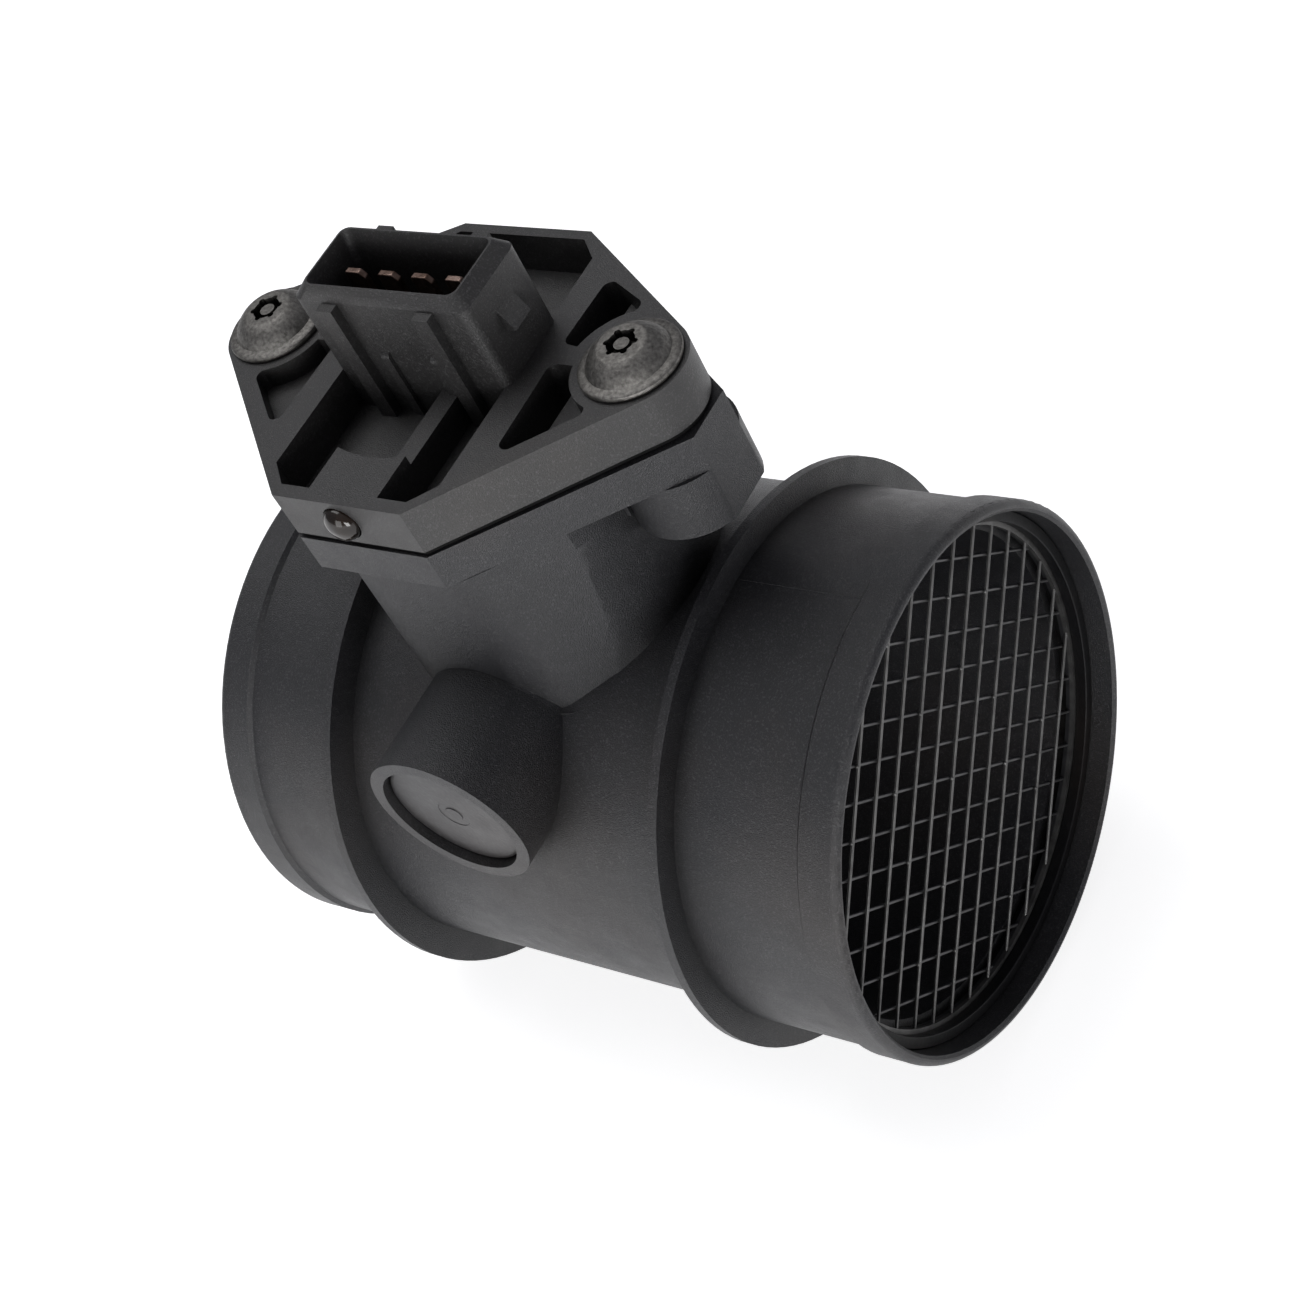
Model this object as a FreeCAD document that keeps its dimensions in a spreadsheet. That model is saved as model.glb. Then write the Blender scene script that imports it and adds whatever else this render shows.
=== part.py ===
import FreeCAD, Part
import math
import os

import Sketcher

os.makedirs("parts", exist_ok=True)
doc = FreeCAD.newDocument("mass_air_flow_sensor")

# Driving sizes
# Every size is a cell of the sheet. A Size keeps the cell's value and its
# expression side by side, so one formula both draws a shape and drives it.
sheet = doc.addObject("Spreadsheet::Sheet", "Sizes")
sheet.set("A1", "name")
sheet.set("B1", "value, mm unless said")
sheet.set("C1", "what it is")


class Size:
    def __init__(self, value, text):
        self.value = value
        self.text = text

    def __add__(self, other):
        other = as_size(other)
        return Size(self.value + other.value, "(%s + %s)" % (self.text, other.text))

    def __sub__(self, other):
        other = as_size(other)
        return Size(self.value - other.value, "(%s - %s)" % (self.text, other.text))

    def __mul__(self, other):
        other = as_size(other)
        return Size(self.value * other.value, "(%s * %s)" % (self.text, other.text))

    def __truediv__(self, other):
        other = as_size(other)
        return Size(self.value / other.value, "(%s / %s)" % (self.text, other.text))

    def __neg__(self):
        return self * -1

    def __radd__(self, other):
        return as_size(other) + self

    def __rsub__(self, other):
        return as_size(other) - self

    def __rmul__(self, other):
        return as_size(other) * self


def as_size(number):
    if isinstance(number, Size):
        return number
    return Size(float(number), "%.9f" % number)


def root(size):
    return Size(math.sqrt(size.value), "sqrt(%s)" % size.text)


def size(name, value, meaning):
    row = len(named) + 2
    sheet.set("A%d" % row, name)
    sheet.set("B%d" % row, str(value))
    sheet.set("C%d" % row, meaning)
    sheet.setAlias("B%d" % row, name)
    named.append(name)
    return Size(float(value), "Sizes." + name)


named = []

# The duct runs along X, from its outlet end to its inlet end.
duct_length = size("duct_length", 96.6, "outlet end to inlet end")
duct_radius = size("duct_radius", 33.5, "outside of the duct between the ribs")
duct_wall = size("duct_wall", 2.9, "wall of the duct")
spigot_step = size("spigot_step", 0.8, "hose spigots wider than the duct, on the radius")
lip_height = size("lip_height", 0.6, "lip at each end above its spigot")
lip_width = size("lip_width", 5.2, "lip along the duct")
lip_slope = size("lip_slope", 0.5, "slope behind the lip")
lip_ease = size("lip_ease", 1.3, "rounded outer edge of each end, along the duct")
lip_drop = size("lip_drop", 0.8, "the same, radially")
rib_height = size("rib_height", 3.5, "hose stop ribs above the spigots")
rib_crest = size("rib_crest", 1.3, "flat crest of a rib")
outlet_rib_x = size("outlet_rib_x", 22.8, "inner face of the outlet rib")
inlet_rib_x = size("inlet_rib_x", 73.9, "outer face of the inlet rib")
rib_slope = size("rib_slope", 1.7, "sloped side of a rib, along the duct")
rib_foot = size("rib_foot", 1.9, "low step beside the inlet rib")
rib_foot_height = size("rib_foot_height", 0.8, "height of that step")
seat_step = size("seat_step", 2.9, "screen seat wider than the bore, on the radius")
seat_depth = size("seat_depth", 7.0, "depth of each screen seat")
end_chamfer = size("end_chamfer", 0.4, "chamfer inside each end")

# Screens
screen_depth = size("screen_depth", 4.9, "end face to the front of the screen frame")
frame_width = size("frame_width", 2.1, "screen frame ring, radially")
frame_thick = size("frame_thick", 1.1, "screen frame ring, along the duct")
wire_radius = size("wire_radius", 0.22, "screen wire")
wire_pitch = size("wire_pitch", 4.56, "screen wire spacing")
wire_gap = size("wire_gap", 0.02, "gap between the two layers of wires")
ring_width = size("ring_width", 1.5, "retaining ring, radially")
ring_thick = size("ring_thick", 1.6, "retaining ring, along the duct")
seat_clearance = size("seat_clearance", 0.1, "round what is pressed or clipped in")

# Electronics housing on the duct. X is measured from the housing's middle.
housing_x = size("housing_x", 45.7, "middle of the housing along the duct")
row_y = size("row_y", 2.8, "line of the two screws and of the connector")
neck_height = size("neck_height", 21.6, "underside of the housing flange above the duct")
flange_thick = size("flange_thick", 5.2, "housing flange")
front_half = size("front_half", 9.6, "half of the straight front and back edges")
front_y = size("front_y", 22.3, "duct axis to the front and back edges")
flange_half = size("flange_half", 33.9, "middle to the flat end of the flange")
flange_end_half = size("flange_end_half", 3.6, "half of the flat end of the flange")
flange_margin = size("flange_margin", 0.5, "flange beyond the cover")
neck_sink = size("neck_sink", 9.5, "start of the neck below the top of the duct")
neck_foot_y = size("neck_foot_y", 18.7, "half depth of the neck at its foot")
neck_half = size("neck_half", 22.6, "half length of the neck")
neck_corner_x = size("neck_corner_x", 17.0, "where the neck's corner meets its rounded end, along X")
neck_corner_y = size("neck_corner_y", 15.3, "the same, along Y, under the flange")
screw_inset = size("screw_inset", 7.2, "flat end of the flange to the screw")
boss_radius = size("boss_radius", 8.0, "screw bosses under the flange")
boss_length = size("boss_length", 8.1, "screw bosses below the flange")
gusset_thick = size("gusset_thick", 1.2, "web beside each screw boss")
gusset_reach = size("gusset_reach", 4.2, "web along the duct, from the boss axis")
gusset_drop = size("gusset_drop", 5.4, "web below the flange")
chamber_half = size("chamber_half", 18.0, "half length of the electronics chamber")
chamber_half_y = size("chamber_half_y", 15.5, "half depth of the chamber")
chamber_corner = size("chamber_corner", 6.5, "cut corner of the chamber")
chamber_drop = size("chamber_drop", 7.1, "floor of the chamber below the flange")

# Adjuster boss on the front of the duct
adjuster_drop = size("adjuster_drop", 10.1, "adjuster boss below the top of the duct")
adjuster_reach = size("adjuster_reach", 0.9, "end of the adjuster boss in front of the duct")
adjuster_length = size("adjuster_length", 16.4, "adjuster boss from its start inside the neck")
adjuster_radius = size("adjuster_radius", 11.0, "adjuster boss")
plug_radius = size("plug_radius", 8.9, "blanking plug")
plug_thick = size("plug_thick", 1.5, "blanking plug at its face")
plug_skirt = size("plug_skirt", 0.7, "skirt behind the plug's face")
plug_recess = size("plug_recess", 0.3, "plug face below the end of the boss")
plug_gap = size("plug_gap", 0.35, "gap round the plug")
trimmer_radius = size("trimmer_radius", 4.8, "trimming potentiometer")
trimmer_length = size("trimmer_length", 4.2, "trimming potentiometer")
rotor_radius = size("rotor_radius", 2.0, "adjusting screw of the potentiometer")
rotor_height = size("rotor_height", 0.9, "adjusting screw above the potentiometer")
rotor_stem = size("rotor_stem", 2.0, "adjusting screw inside the potentiometer")
slot_width = size("slot_width", 0.6, "screwdriver slot")
slot_depth = size("slot_depth", 0.5, "screwdriver slot")

# Cover with the connector
gasket_thick = size("gasket_thick", 0.7, "seal between flange and cover")
gasket_inset = size("gasket_inset", 0.35, "seal behind the cover's edge")
cover_thick = size("cover_thick", 6.4, "cover, without the connector")
tip_radius = size("tip_radius", 6.9, "round ends of the cover")
recess_floor = size("recess_floor", 1.1, "floor under the open recesses of the cover")
recess_half = size("recess_half", 12.3, "half length of the middle recess")
recess_front = size("recess_front", 20.5, "front end of the middle recess")
recess_back = size("recess_back", 20.9, "back end of the middle recess")
recess_corner = size("recess_corner", 2.9, "cut corner of the middle recess")
tongue_half = size("tongue_half", 5.1, "half width of the raised tongue")
tongue_back = size("tongue_back", 14.2, "back edge of the tongue at its sides")
tongue_hollow = size("tongue_hollow", 0.8, "hollow of the tongue's back edge")
bar_x = size("bar_x", 4.1, "middle of the bar from tongue to connector")
bar_width = size("bar_width", 1.8, "that bar")
pocket_wall = size("pocket_wall", 3.2, "middle recess to the side pockets")
pocket_arc = size("pocket_arc", 7.9, "side pockets round the screw")
pocket_web = size("pocket_web", 1.2, "half of the web between two side pockets")
pocket_corner = size("pocket_corner", 0.8, "rounded corners of the side pockets")
pocket_front = size("pocket_front", 10.6, "front pocket's sharp corner before the duct axis")
pocket_back = size("pocket_back", 14.6, "back pocket's far corner behind the duct axis")
pocket_end_drop = size("pocket_end_drop", 7.0, "screw line to the outer corner of the front pocket")
pocket_end_rise = size("pocket_end_rise", 8.3, "screw line to the outer corner of the back pocket")
shroud_half = size("shroud_half", 12.9, "half length of the connector shroud")
shroud_half_y = size("shroud_half_y", 5.75, "half width of the connector shroud")
shroud_corner = size("shroud_corner", 1.4, "corners of the shroud")
shroud_top = size("shroud_top", 18.0, "rim of the shroud above the cover's underside")
socket_wall = size("socket_wall", 2.2, "wall of the shroud at its rim")
socket_depth = size("socket_depth", 9.2, "depth of the socket")
socket_corner = size("socket_corner", 2.0, "corners of the socket")
rib_width = size("rib_width", 2.3, "upright ribs of the shroud")
rib_proud = size("rib_proud", 1.3, "those ribs stand out by")
rib_left_x = size("rib_left_x", -7.3, "left rib from the middle")
rib_right_x = size("rib_right_x", 7.0, "right rib from the middle")
rib_below_rim = size("rib_below_rim", 0.35, "rib tops below the rim")
key_width = size("key_width", 1.2, "low ribs between them")
key_top = size("key_top", 10.6, "top of the low ribs above the cover's underside")
key_proud = size("key_proud", 0.8, "the low ribs stand out by")
key_left_x = size("key_left_x", -3.0, "left low rib from the middle")
key_right_x = size("key_right_x", 4.4, "right low rib from the middle")
nub_width = size("nub_width", 3.4, "locking nub, across")
nub_height = size("nub_height", 2.9, "locking nub, up")
nub_proud = size("nub_proud", 1.4, "locking nub stands out by")
nub_top = size("nub_top", 14.6, "top of the nub above the cover's underside")

# Terminals
terminal_pitch = size("terminal_pitch", 5.0, "spacing of the terminals")
blade_width = size("blade_width", 2.8, "terminal blade")
blade_thick = size("blade_thick", 0.8, "terminal blade")
blade_tip = size("blade_tip", 0.6, "chamfer of the blade's tip")
blade_below_rim = size("blade_below_rim", 0.5, "tip below the rim of the shroud")
foot_length = size("foot_length", 3.4, "bent foot of a terminal on the board")
slot_clearance = size("slot_clearance", 0.05, "round each terminal in its slot")

# Screws and their inserts
screw_radius = size("screw_radius", 2.5, "screw shank")
screw_length = size("screw_length", 15.0, "screw shank under its head")
head_radius = size("head_radius", 6.3, "flange of the screw head")
head_rim = size("head_rim", 0.9, "thickness of that flange")
dome_radius = size("dome_radius", 5.2, "foot of the domed head")
dome_top = size("dome_top", 3.0, "flat top of the head, radius")
head_height = size("head_height", 3.3, "screw head")
lobe_circle = size("lobe_circle", 1.85, "screw axis to the lobes of the socket")
lobe_radius = size("lobe_radius", 0.62, "lobe of the socket")
lobe_hub = size("lobe_hub", 1.95, "middle of the socket")
lobe_depth = size("lobe_depth", 1.7, "depth of the socket")
pin_radius = size("pin_radius", 0.8, "pin in the middle of the socket")
pin_below = size("pin_below", 0.2, "that pin below the top of the head")
screw_clearance = size("screw_clearance", 0.3, "screw in the holes of cover and seal")
insert_radius = size("insert_radius", 3.6, "threaded insert")
insert_length = size("insert_length", 9.0, "threaded insert")
thread_gap = size("thread_gap", 0.03, "screw in its insert, threads left out")
insert_groove = size("insert_groove", 0.35, "waist of the insert, depth")

# Bead on the front of the cover
bead_radius = size("bead_radius", 2.45, "glossy sealing bead")
bead_proud = size("bead_proud", 1.3, "bead in front of the cover")
bead_depth = size("bead_depth", 1.0, "bead inside the cover's front wall")
bead_x = size("bead_x", -0.8, "bead from the middle of the cover")
bead_height = size("bead_height", 3.1, "bead above the cover's underside")

# Sensing module
stem_half = size("stem_half", 11.8, "half length of the module's stem")
stem_half_y = size("stem_half_y", 6.8, "half width of the stem")
stem_clearance = size("stem_clearance", 0.25, "stem in its hole")
head_margin = size("head_margin", 3.0, "module's head beyond the stem")
head_thick = size("head_thick", 2.0, "module's head")
stem_seal_thick = size("stem_seal_thick", 0.8, "seal under the module's head")
stem_reach = size("stem_reach", 3.1, "lower end of the stem inside the bore")
strut_half = size("strut_half", 9.5, "half length of the strut")
strut_half_y = size("strut_half_y", 2.4, "half width of the strut")
tube_radius = size("tube_radius", 6.6, "measuring tube outside")
tube_bore = size("tube_bore", 5.0, "measuring tube inside")
tube_half = size("tube_half", 11.0, "half length of the measuring tube")
film_width = size("film_width", 7.0, "hot film element along the duct")
film_thick = size("film_thick", 0.5, "hot film element")
film_drop = size("film_drop", 2.6, "element below the tube's axis")
film_hold = size("film_hold", 2.5, "element held inside the strut")
bead_sensor_x = size("bead_sensor_x", 7.6, "air temperature sensor from the middle")
bead_sensor_radius = size("bead_sensor_radius", 0.9, "air temperature sensor")
lead_radius = size("lead_radius", 0.35, "lead of the temperature sensor")
plate_thick = size("plate_thick", 2.0, "heat sink plate")
plate_clearance = size("plate_clearance", 0.3, "plate in the chamber")
board_half = size("board_half", 13.5, "half length of the circuit board")
board_half_y = size("board_half_y", 10.0, "half width of the circuit board")
board_thick = size("board_thick", 0.9, "circuit board")

doc.recompute()

# Levels that follow from the sizes. The frame's origin is on the duct axis at
# the middle of the outlet lip's crest, and X in the lines below is counted from
# the duct's outlet end.
origin_x = (lip_ease + lip_width) / 2
bore_radius = duct_radius - duct_wall
spigot_radius = duct_radius + spigot_step
lip_radius = spigot_radius + lip_height
rib_radius = spigot_radius + rib_height
seat_radius = bore_radius + seat_step
flange_bottom = duct_radius + neck_height
neck_foot_z = duct_radius - neck_sink
screw_half = flange_half - screw_inset
chamber_floor = flange_bottom - chamber_drop
adjuster_z = duct_radius - adjuster_drop
adjuster_end = duct_radius + adjuster_reach
adjuster_root = adjuster_end - adjuster_length
stem_bottom = bore_radius - stem_reach
wires_each_side = int((seat_radius - frame_width).value / wire_pitch.value)
flange_top = flange_bottom + flange_thick
cover_bottom = flange_top + gasket_thick
cover_top = cover_bottom + cover_thick
plate_top = chamber_floor + plate_thick
board_top = plate_top + board_thick
boss_bottom = flange_bottom - boss_length
head_seat = chamber_floor - head_thick - stem_seal_thick
ring_back = screen_depth
frame_back = ring_back + frame_thick
insert_hole = insert_radius + seat_clearance
trimmer_floor = adjuster_end - plug_recess - plug_thick - rotor_height - trimmer_length - 0.1
plug_seat = plug_recess + plug_thick + plug_skirt


# Small helpers that a sketch or a feature needs again and again
def bind(thing, field, amount):
    thing.setExpression(field, as_size(amount).text)


def new_body(label, place_x=0, place_y=0, place_z=0):
    made = doc.addObject("PartDesign::Body", label)
    made.Label = label
    for axis, amount in (("x", place_x - origin_x), ("y", place_y), ("z", place_z)):
        if isinstance(amount, Size):
            bind(made, "Placement.Base." + axis, amount)
    return made


def new_sketch(body, name, role, offset=None):
    made = body.newObject("Sketcher::SketchObject", name)
    planes = [part for part in body.Origin.OriginFeatures if part.Role == role]
    made.AttachmentSupport = [(planes[0], "")]
    made.MapMode = "FlatFace"
    if offset is not None:
        bind(made, "AttachmentOffset.Base.z", offset)
        made.AttachmentOffset = FreeCAD.Placement(
            FreeCAD.Vector(0, 0, as_size(offset).value), FreeCAD.Rotation())
    return made


def pin_point(sketch, edge, end, x, y):
    x = as_size(x)
    y = as_size(y)
    across = sketch.addConstraint(Sketcher.Constraint("DistanceX", -1, 1, edge, end, x.value))
    sketch.setExpression("Constraints[%d]" % across, x.text)
    up = sketch.addConstraint(Sketcher.Constraint("DistanceY", -1, 1, edge, end, y.value))
    sketch.setExpression("Constraints[%d]" % up, y.text)


def vector(x, y):
    return FreeCAD.Vector(as_size(x).value, as_size(y).value, 0)


def draw_loop(sketch, corners):
    """A closed outline. A corner is (x, y), or (x, y, via_x, via_y) where the
    edge that leaves it is an arc through the point via."""
    edges = []
    for here, corner in enumerate(corners):
        start = vector(corner[0], corner[1])
        after = corners[(here + 1) % len(corners)]
        finish = vector(after[0], after[1])
        if len(corner) == 2:
            edges.append((sketch.addGeometry(Part.LineSegment(start, finish)), 1, 2))
            continue
        via = vector(corner[2], corner[3])
        arc = Part.Arc(start, via, finish)
        number = sketch.addGeometry(arc)
        turn = (via - start).cross(finish - via).z
        edges.append((number, 1, 2) if turn > 0 else (number, 2, 1))
        marker = sketch.addGeometry(Part.Point(via), True)
        sketch.addConstraint(Sketcher.Constraint("PointOnObject", marker, 1, number))
        pin_point(sketch, marker, 1, corner[2], corner[3])
    for here, (edge, first, last) in enumerate(edges):
        follower, follower_first, _ = edges[(here + 1) % len(edges)]
        sketch.addConstraint(Sketcher.Constraint("Coincident", edge, last, follower, follower_first))
        pin_point(sketch, edge, first, corners[here][0], corners[here][1])


def draw_circle(sketch, x, y, radius):
    radius = as_size(radius)
    edge = sketch.addGeometry(Part.Circle(vector(x, y), FreeCAD.Vector(0, 0, 1), radius.value))
    pin_point(sketch, edge, 3, x, y)
    held = sketch.addConstraint(Sketcher.Constraint("Radius", edge, radius.value))
    sketch.setExpression("Constraints[%d]" % held, radius.text)


def draw_box(sketch, x_low, y_low, x_high, y_high):
    draw_loop(sketch, [(x_low, y_low), (x_high, y_low), (x_high, y_high), (x_low, y_high)])


def draw_obround(sketch, half_long, half_wide):
    straight = half_long - half_wide
    draw_loop(sketch, [
        (-straight, -half_wide), (straight, -half_wide, half_long, 0),
        (straight, half_wide), (-straight, half_wide, -half_long, 0)])


def draw_rounded_box(sketch, half_long, half_wide, corner, middle_y=0):
    bulge = corner * (1 - math.sqrt(0.5))
    low = middle_y - half_wide
    high = middle_y + half_wide
    draw_loop(sketch, [
        (-half_long + corner, low),
        (half_long - corner, low, half_long - bulge, low + bulge),
        (half_long, low + corner),
        (half_long, high - corner, half_long - bulge, high - bulge),
        (half_long - corner, high),
        (-half_long + corner, high, -half_long + bulge, high - bulge),
        (-half_long, high - corner),
        (-half_long, low + corner, -half_long + bulge, low + bulge)])


def finish_feature(body, feature, grows):
    before = body.Shape.Volume if body.Shape.Solids else 0.0
    doc.recompute()
    after = body.Shape.Volume
    if grows and after <= before:
        raise RuntimeError("nothing was added by " + feature.Name)
    if not grows and after >= before:
        raise RuntimeError("nothing was cut by " + feature.Name)
    return feature


def pad(body, name, sketch, length, flip=False, both=False):
    made = body.newObject("PartDesign::Pad", name)
    made.Profile = sketch
    bind(made, "Length", length)
    made.Midplane = both
    made.Reversed = flip
    return finish_feature(body, made, True)


def pocket(body, name, sketch, length, flip=False):
    made = body.newObject("PartDesign::Pocket", name)
    made.Profile = sketch
    bind(made, "Length", length)
    made.Reversed = flip
    return finish_feature(body, made, False)


def turn(body, name, sketch, axis, kind="PartDesign::Revolution"):
    made = body.newObject(kind, name)
    made.Profile = sketch
    made.ReferenceAxis = (sketch, [axis])
    made.Angle = 360
    return finish_feature(body, made, kind == "PartDesign::Revolution")


def mirror(body, name, features, grows):
    made = body.newObject("PartDesign::Mirrored", name)
    made.Originals = features
    sides = [part for part in body.Origin.OriginFeatures if part.Role == "YZ_Plane"]
    made.MirrorPlane = (sides[0], [""])
    body.Tip = made
    return finish_feature(body, made, grows)


def around(body, name, feature, count, grows):
    made = body.newObject("PartDesign::PolarPattern", name)
    made.Originals = [feature]
    axes = [part for part in body.Origin.OriginFeatures if part.Role == "Z_Axis"]
    made.Axis = (axes[0], [""])
    made.Angle = 360
    made.Occurrences = count
    body.Tip = made
    return finish_feature(body, made, grows)


def cylinder(name, radius, height):
    made = doc.addObject("Part::Cylinder", name)
    bind(made, "Radius", radius)
    bind(made, "Height", height)
    return made


def put(thing, x, y, z, rotation=None):
    if rotation is not None:
        thing.Placement = FreeCAD.Placement(FreeCAD.Vector(0, 0, 0), rotation)
    for axis, amount in (("x", x - origin_x), ("y", y), ("z", z)):
        bind(thing, "Placement.Base." + axis, amount)
    return thing


# Duct housing: the duct with its ribs, the neck, the flange, the screw bosses
# and the adjuster boss are one moulding.
housing = new_body("duct_housing")
far_lip = duct_length - lip_width
profile = new_sketch(housing, "duct_outside", "XZ_Plane")
draw_loop(profile, [
    (0, 0),
    (0, lip_radius - lip_drop, lip_ease * 0.3, lip_radius - lip_drop * 0.3),
    (lip_ease, lip_radius),
    (lip_width, lip_radius),
    (lip_width + lip_slope, spigot_radius),
    (outlet_rib_x - rib_crest - rib_slope, spigot_radius),
    (outlet_rib_x - rib_crest, rib_radius),
    (outlet_rib_x, rib_radius),
    (outlet_rib_x, duct_radius),
    (inlet_rib_x - rib_crest - rib_slope - rib_foot, duct_radius),
    (inlet_rib_x - rib_crest - rib_slope - rib_foot, duct_radius + rib_foot_height),
    (inlet_rib_x - rib_crest - rib_slope, duct_radius + rib_foot_height),
    (inlet_rib_x - rib_crest, rib_radius),
    (inlet_rib_x, rib_radius),
    (inlet_rib_x, spigot_radius),
    (far_lip - lip_slope, spigot_radius),
    (far_lip, lip_radius),
    (duct_length - lip_ease, lip_radius,
     duct_length - lip_ease * 0.3, lip_radius - lip_drop * 0.3),
    (duct_length, lip_radius - lip_drop),
    (duct_length, 0)])
turn(housing, "duct_turned", profile, "H_Axis")


def neck_outline(name, level, half_y, corner_x, corner_y, bulge):
    """Flat front and back, corners that bulge by the given share of a full
    ellipse quarter, and rounded ends."""
    outline = new_sketch(housing, name, "XY_Plane", level)
    mid_x = (front_half + corner_x) / 2
    mid_y = (half_y + corner_y) / 2
    out_x = (corner_x - front_half) * bulge
    out_y = (half_y - corner_y) * bulge
    left = housing_x
    draw_loop(outline, [
        (left - front_half, -half_y),
        (left + front_half, -half_y, left + mid_x + out_x, -mid_y - out_y),
        (left + corner_x, -corner_y, left + neck_half, 0),
        (left + corner_x, corner_y, left + mid_x + out_x, mid_y + out_y),
        (left + front_half, half_y),
        (left - front_half, half_y, left - mid_x - out_x, mid_y + out_y),
        (left - corner_x, corner_y, left - neck_half, 0),
        (left - corner_x, -corner_y, left - mid_x - out_x, -mid_y - out_y)])
    return outline


NECK_TOP_BULGE = 0.03
NECK_FOOT_BULGE = 0.17
foot_corner_y = neck_corner_y * neck_foot_y / front_y
neck_foot = neck_outline("neck_foot", neck_foot_z, neck_foot_y, neck_corner_x, foot_corner_y, NECK_FOOT_BULGE)
neck_top = neck_outline("neck_top", flange_bottom, front_y, neck_corner_x, neck_corner_y, NECK_TOP_BULGE)
neck = housing.newObject("PartDesign::AdditiveLoft", "neck")
neck.Profile = neck_foot
neck.Sections = [neck_top]
neck.Ruled = True
finish_feature(housing, neck, True)

flange = new_sketch(housing, "flange_outline", "XY_Plane", flange_bottom)
edge_y = front_y + flange_margin / 4
end_low = row_y - flange_end_half
end_high = row_y + flange_end_half
draw_loop(flange, [
    (housing_x - front_half, -edge_y),
    (housing_x + front_half, -edge_y),
    (housing_x + flange_half, end_low),
    (housing_x + flange_half, end_high),
    (housing_x + front_half, edge_y),
    (housing_x - front_half, edge_y),
    (housing_x - flange_half, end_high),
    (housing_x - flange_half, end_low)])
pad(housing, "flange", flange, flange_thick)

bosses = new_sketch(housing, "boss_circles", "XY_Plane", boss_bottom)
for side in (-1, 1):
    draw_circle(bosses, housing_x + side * screw_half, row_y, boss_radius)
pad(housing, "screw_bosses", bosses, boss_length)

gussets = new_sketch(housing, "gusset_outlines", "XY_Plane", flange_bottom - gusset_drop)
for side in (-1, 1):
    inner = housing_x + side * (screw_half - boss_radius * 0.5)
    outer = housing_x + side * (screw_half - gusset_reach - boss_radius * 0.5)
    low_x, high_x = (inner, outer) if side < 0 else (outer, inner)
    for front in (-1, 1):
        web_y = row_y + front * boss_radius * 0.86
        draw_box(gussets, low_x, web_y - gusset_thick / 2, high_x, web_y + gusset_thick / 2)
pad(housing, "gussets", gussets, gusset_drop)

trims = new_sketch(housing, "end_trims", "XY_Plane", boss_bottom)
for side in (-1, 1):
    near = housing_x + side * flange_half
    far = housing_x + side * (flange_half + boss_radius)
    low_x, high_x = (far, near) if side < 0 else (near, far)
    draw_box(trims, low_x, row_y - boss_radius * 1.2, high_x, row_y + boss_radius * 1.2)
pocket(housing, "flat_ends", trims, boss_length + flange_thick, flip=True)

side_boss = new_sketch(housing, "adjuster_circle", "XZ_Plane", adjuster_root)
draw_circle(side_boss, housing_x, adjuster_z, adjuster_radius)
pad(housing, "adjuster_boss", side_boss, adjuster_end - adjuster_root)

bore = new_sketch(housing, "bore_profile", "XZ_Plane")
draw_loop(bore, [
    (0, 0),
    (0, seat_radius + end_chamfer),
    (end_chamfer, seat_radius),
    (seat_depth, seat_radius),
    (seat_depth, bore_radius),
    (duct_length - seat_depth, bore_radius),
    (duct_length - seat_depth, seat_radius),
    (duct_length - end_chamfer, seat_radius),
    (duct_length, seat_radius + end_chamfer),
    (duct_length, 0)])
turn(housing, "air_bore", bore, "H_Axis", "PartDesign::Groove")


def draw_chamber(sketch, shrink, middle=0):
    long_half = chamber_half - shrink
    wide_half = chamber_half_y - shrink
    corner = chamber_corner
    draw_loop(sketch, [
        (middle - long_half + corner, -wide_half), (middle + long_half - corner, -wide_half),
        (middle + long_half, -wide_half + corner), (middle + long_half, wide_half - corner),
        (middle + long_half - corner, wide_half), (middle - long_half + corner, wide_half),
        (middle - long_half, wide_half - corner), (middle - long_half, -wide_half + corner)])


def draw_obround_at(sketch, middle, half_long, half_wide):
    straight = half_long - half_wide
    draw_loop(sketch, [
        (middle - straight, -half_wide), (middle + straight, -half_wide, middle + half_long, 0),
        (middle + straight, half_wide), (middle - straight, half_wide, middle - half_long, 0)])


chamber = new_sketch(housing, "chamber_outline", "XY_Plane", chamber_floor)
draw_chamber(chamber, 0, housing_x)
pocket(housing, "electronics_chamber", chamber, flange_top - chamber_floor, flip=True)
head_hole = new_sketch(housing, "head_seat_outline", "XY_Plane", head_seat)
draw_obround_at(head_hole, housing_x, stem_half + head_margin + stem_clearance,
                stem_half_y + head_margin + stem_clearance)
pocket(housing, "module_seat", head_hole, chamber_floor - head_seat, flip=True)
stem_hole = new_sketch(housing, "stem_hole_outline", "XY_Plane", neck_foot_z)
draw_obround_at(stem_hole, housing_x, stem_half + stem_clearance, stem_half_y + stem_clearance)
pocket(housing, "stem_hole", stem_hole, head_seat - neck_foot_z, flip=True)

insert_holes = new_sketch(housing, "insert_circles", "XY_Plane", flange_top)
screw_holes = new_sketch(housing, "screw_tip_circles", "XY_Plane", flange_top)
for side in (-1, 1):
    draw_circle(insert_holes, housing_x + side * screw_half, row_y, insert_hole)
    draw_circle(screw_holes, housing_x + side * screw_half, row_y, screw_radius + screw_clearance)
pocket(housing, "insert_holes", insert_holes, insert_length)
pocket(housing, "screw_tip_holes", screw_holes, screw_length - cover_thick - gasket_thick + 2)

plug_hole = new_sketch(housing, "plug_circle", "XZ_Plane", adjuster_end)
draw_circle(plug_hole, housing_x, adjuster_z, plug_radius + plug_gap)
pocket(housing, "plug_seat", plug_hole, plug_seat)
trimmer_hole = new_sketch(housing, "trimmer_circle", "XZ_Plane", adjuster_end)
draw_circle(trimmer_hole, housing_x, adjuster_z, trimmer_radius + seat_clearance)
pocket(housing, "trimmer_hole", trimmer_hole, adjuster_end - trimmer_floor)


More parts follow.
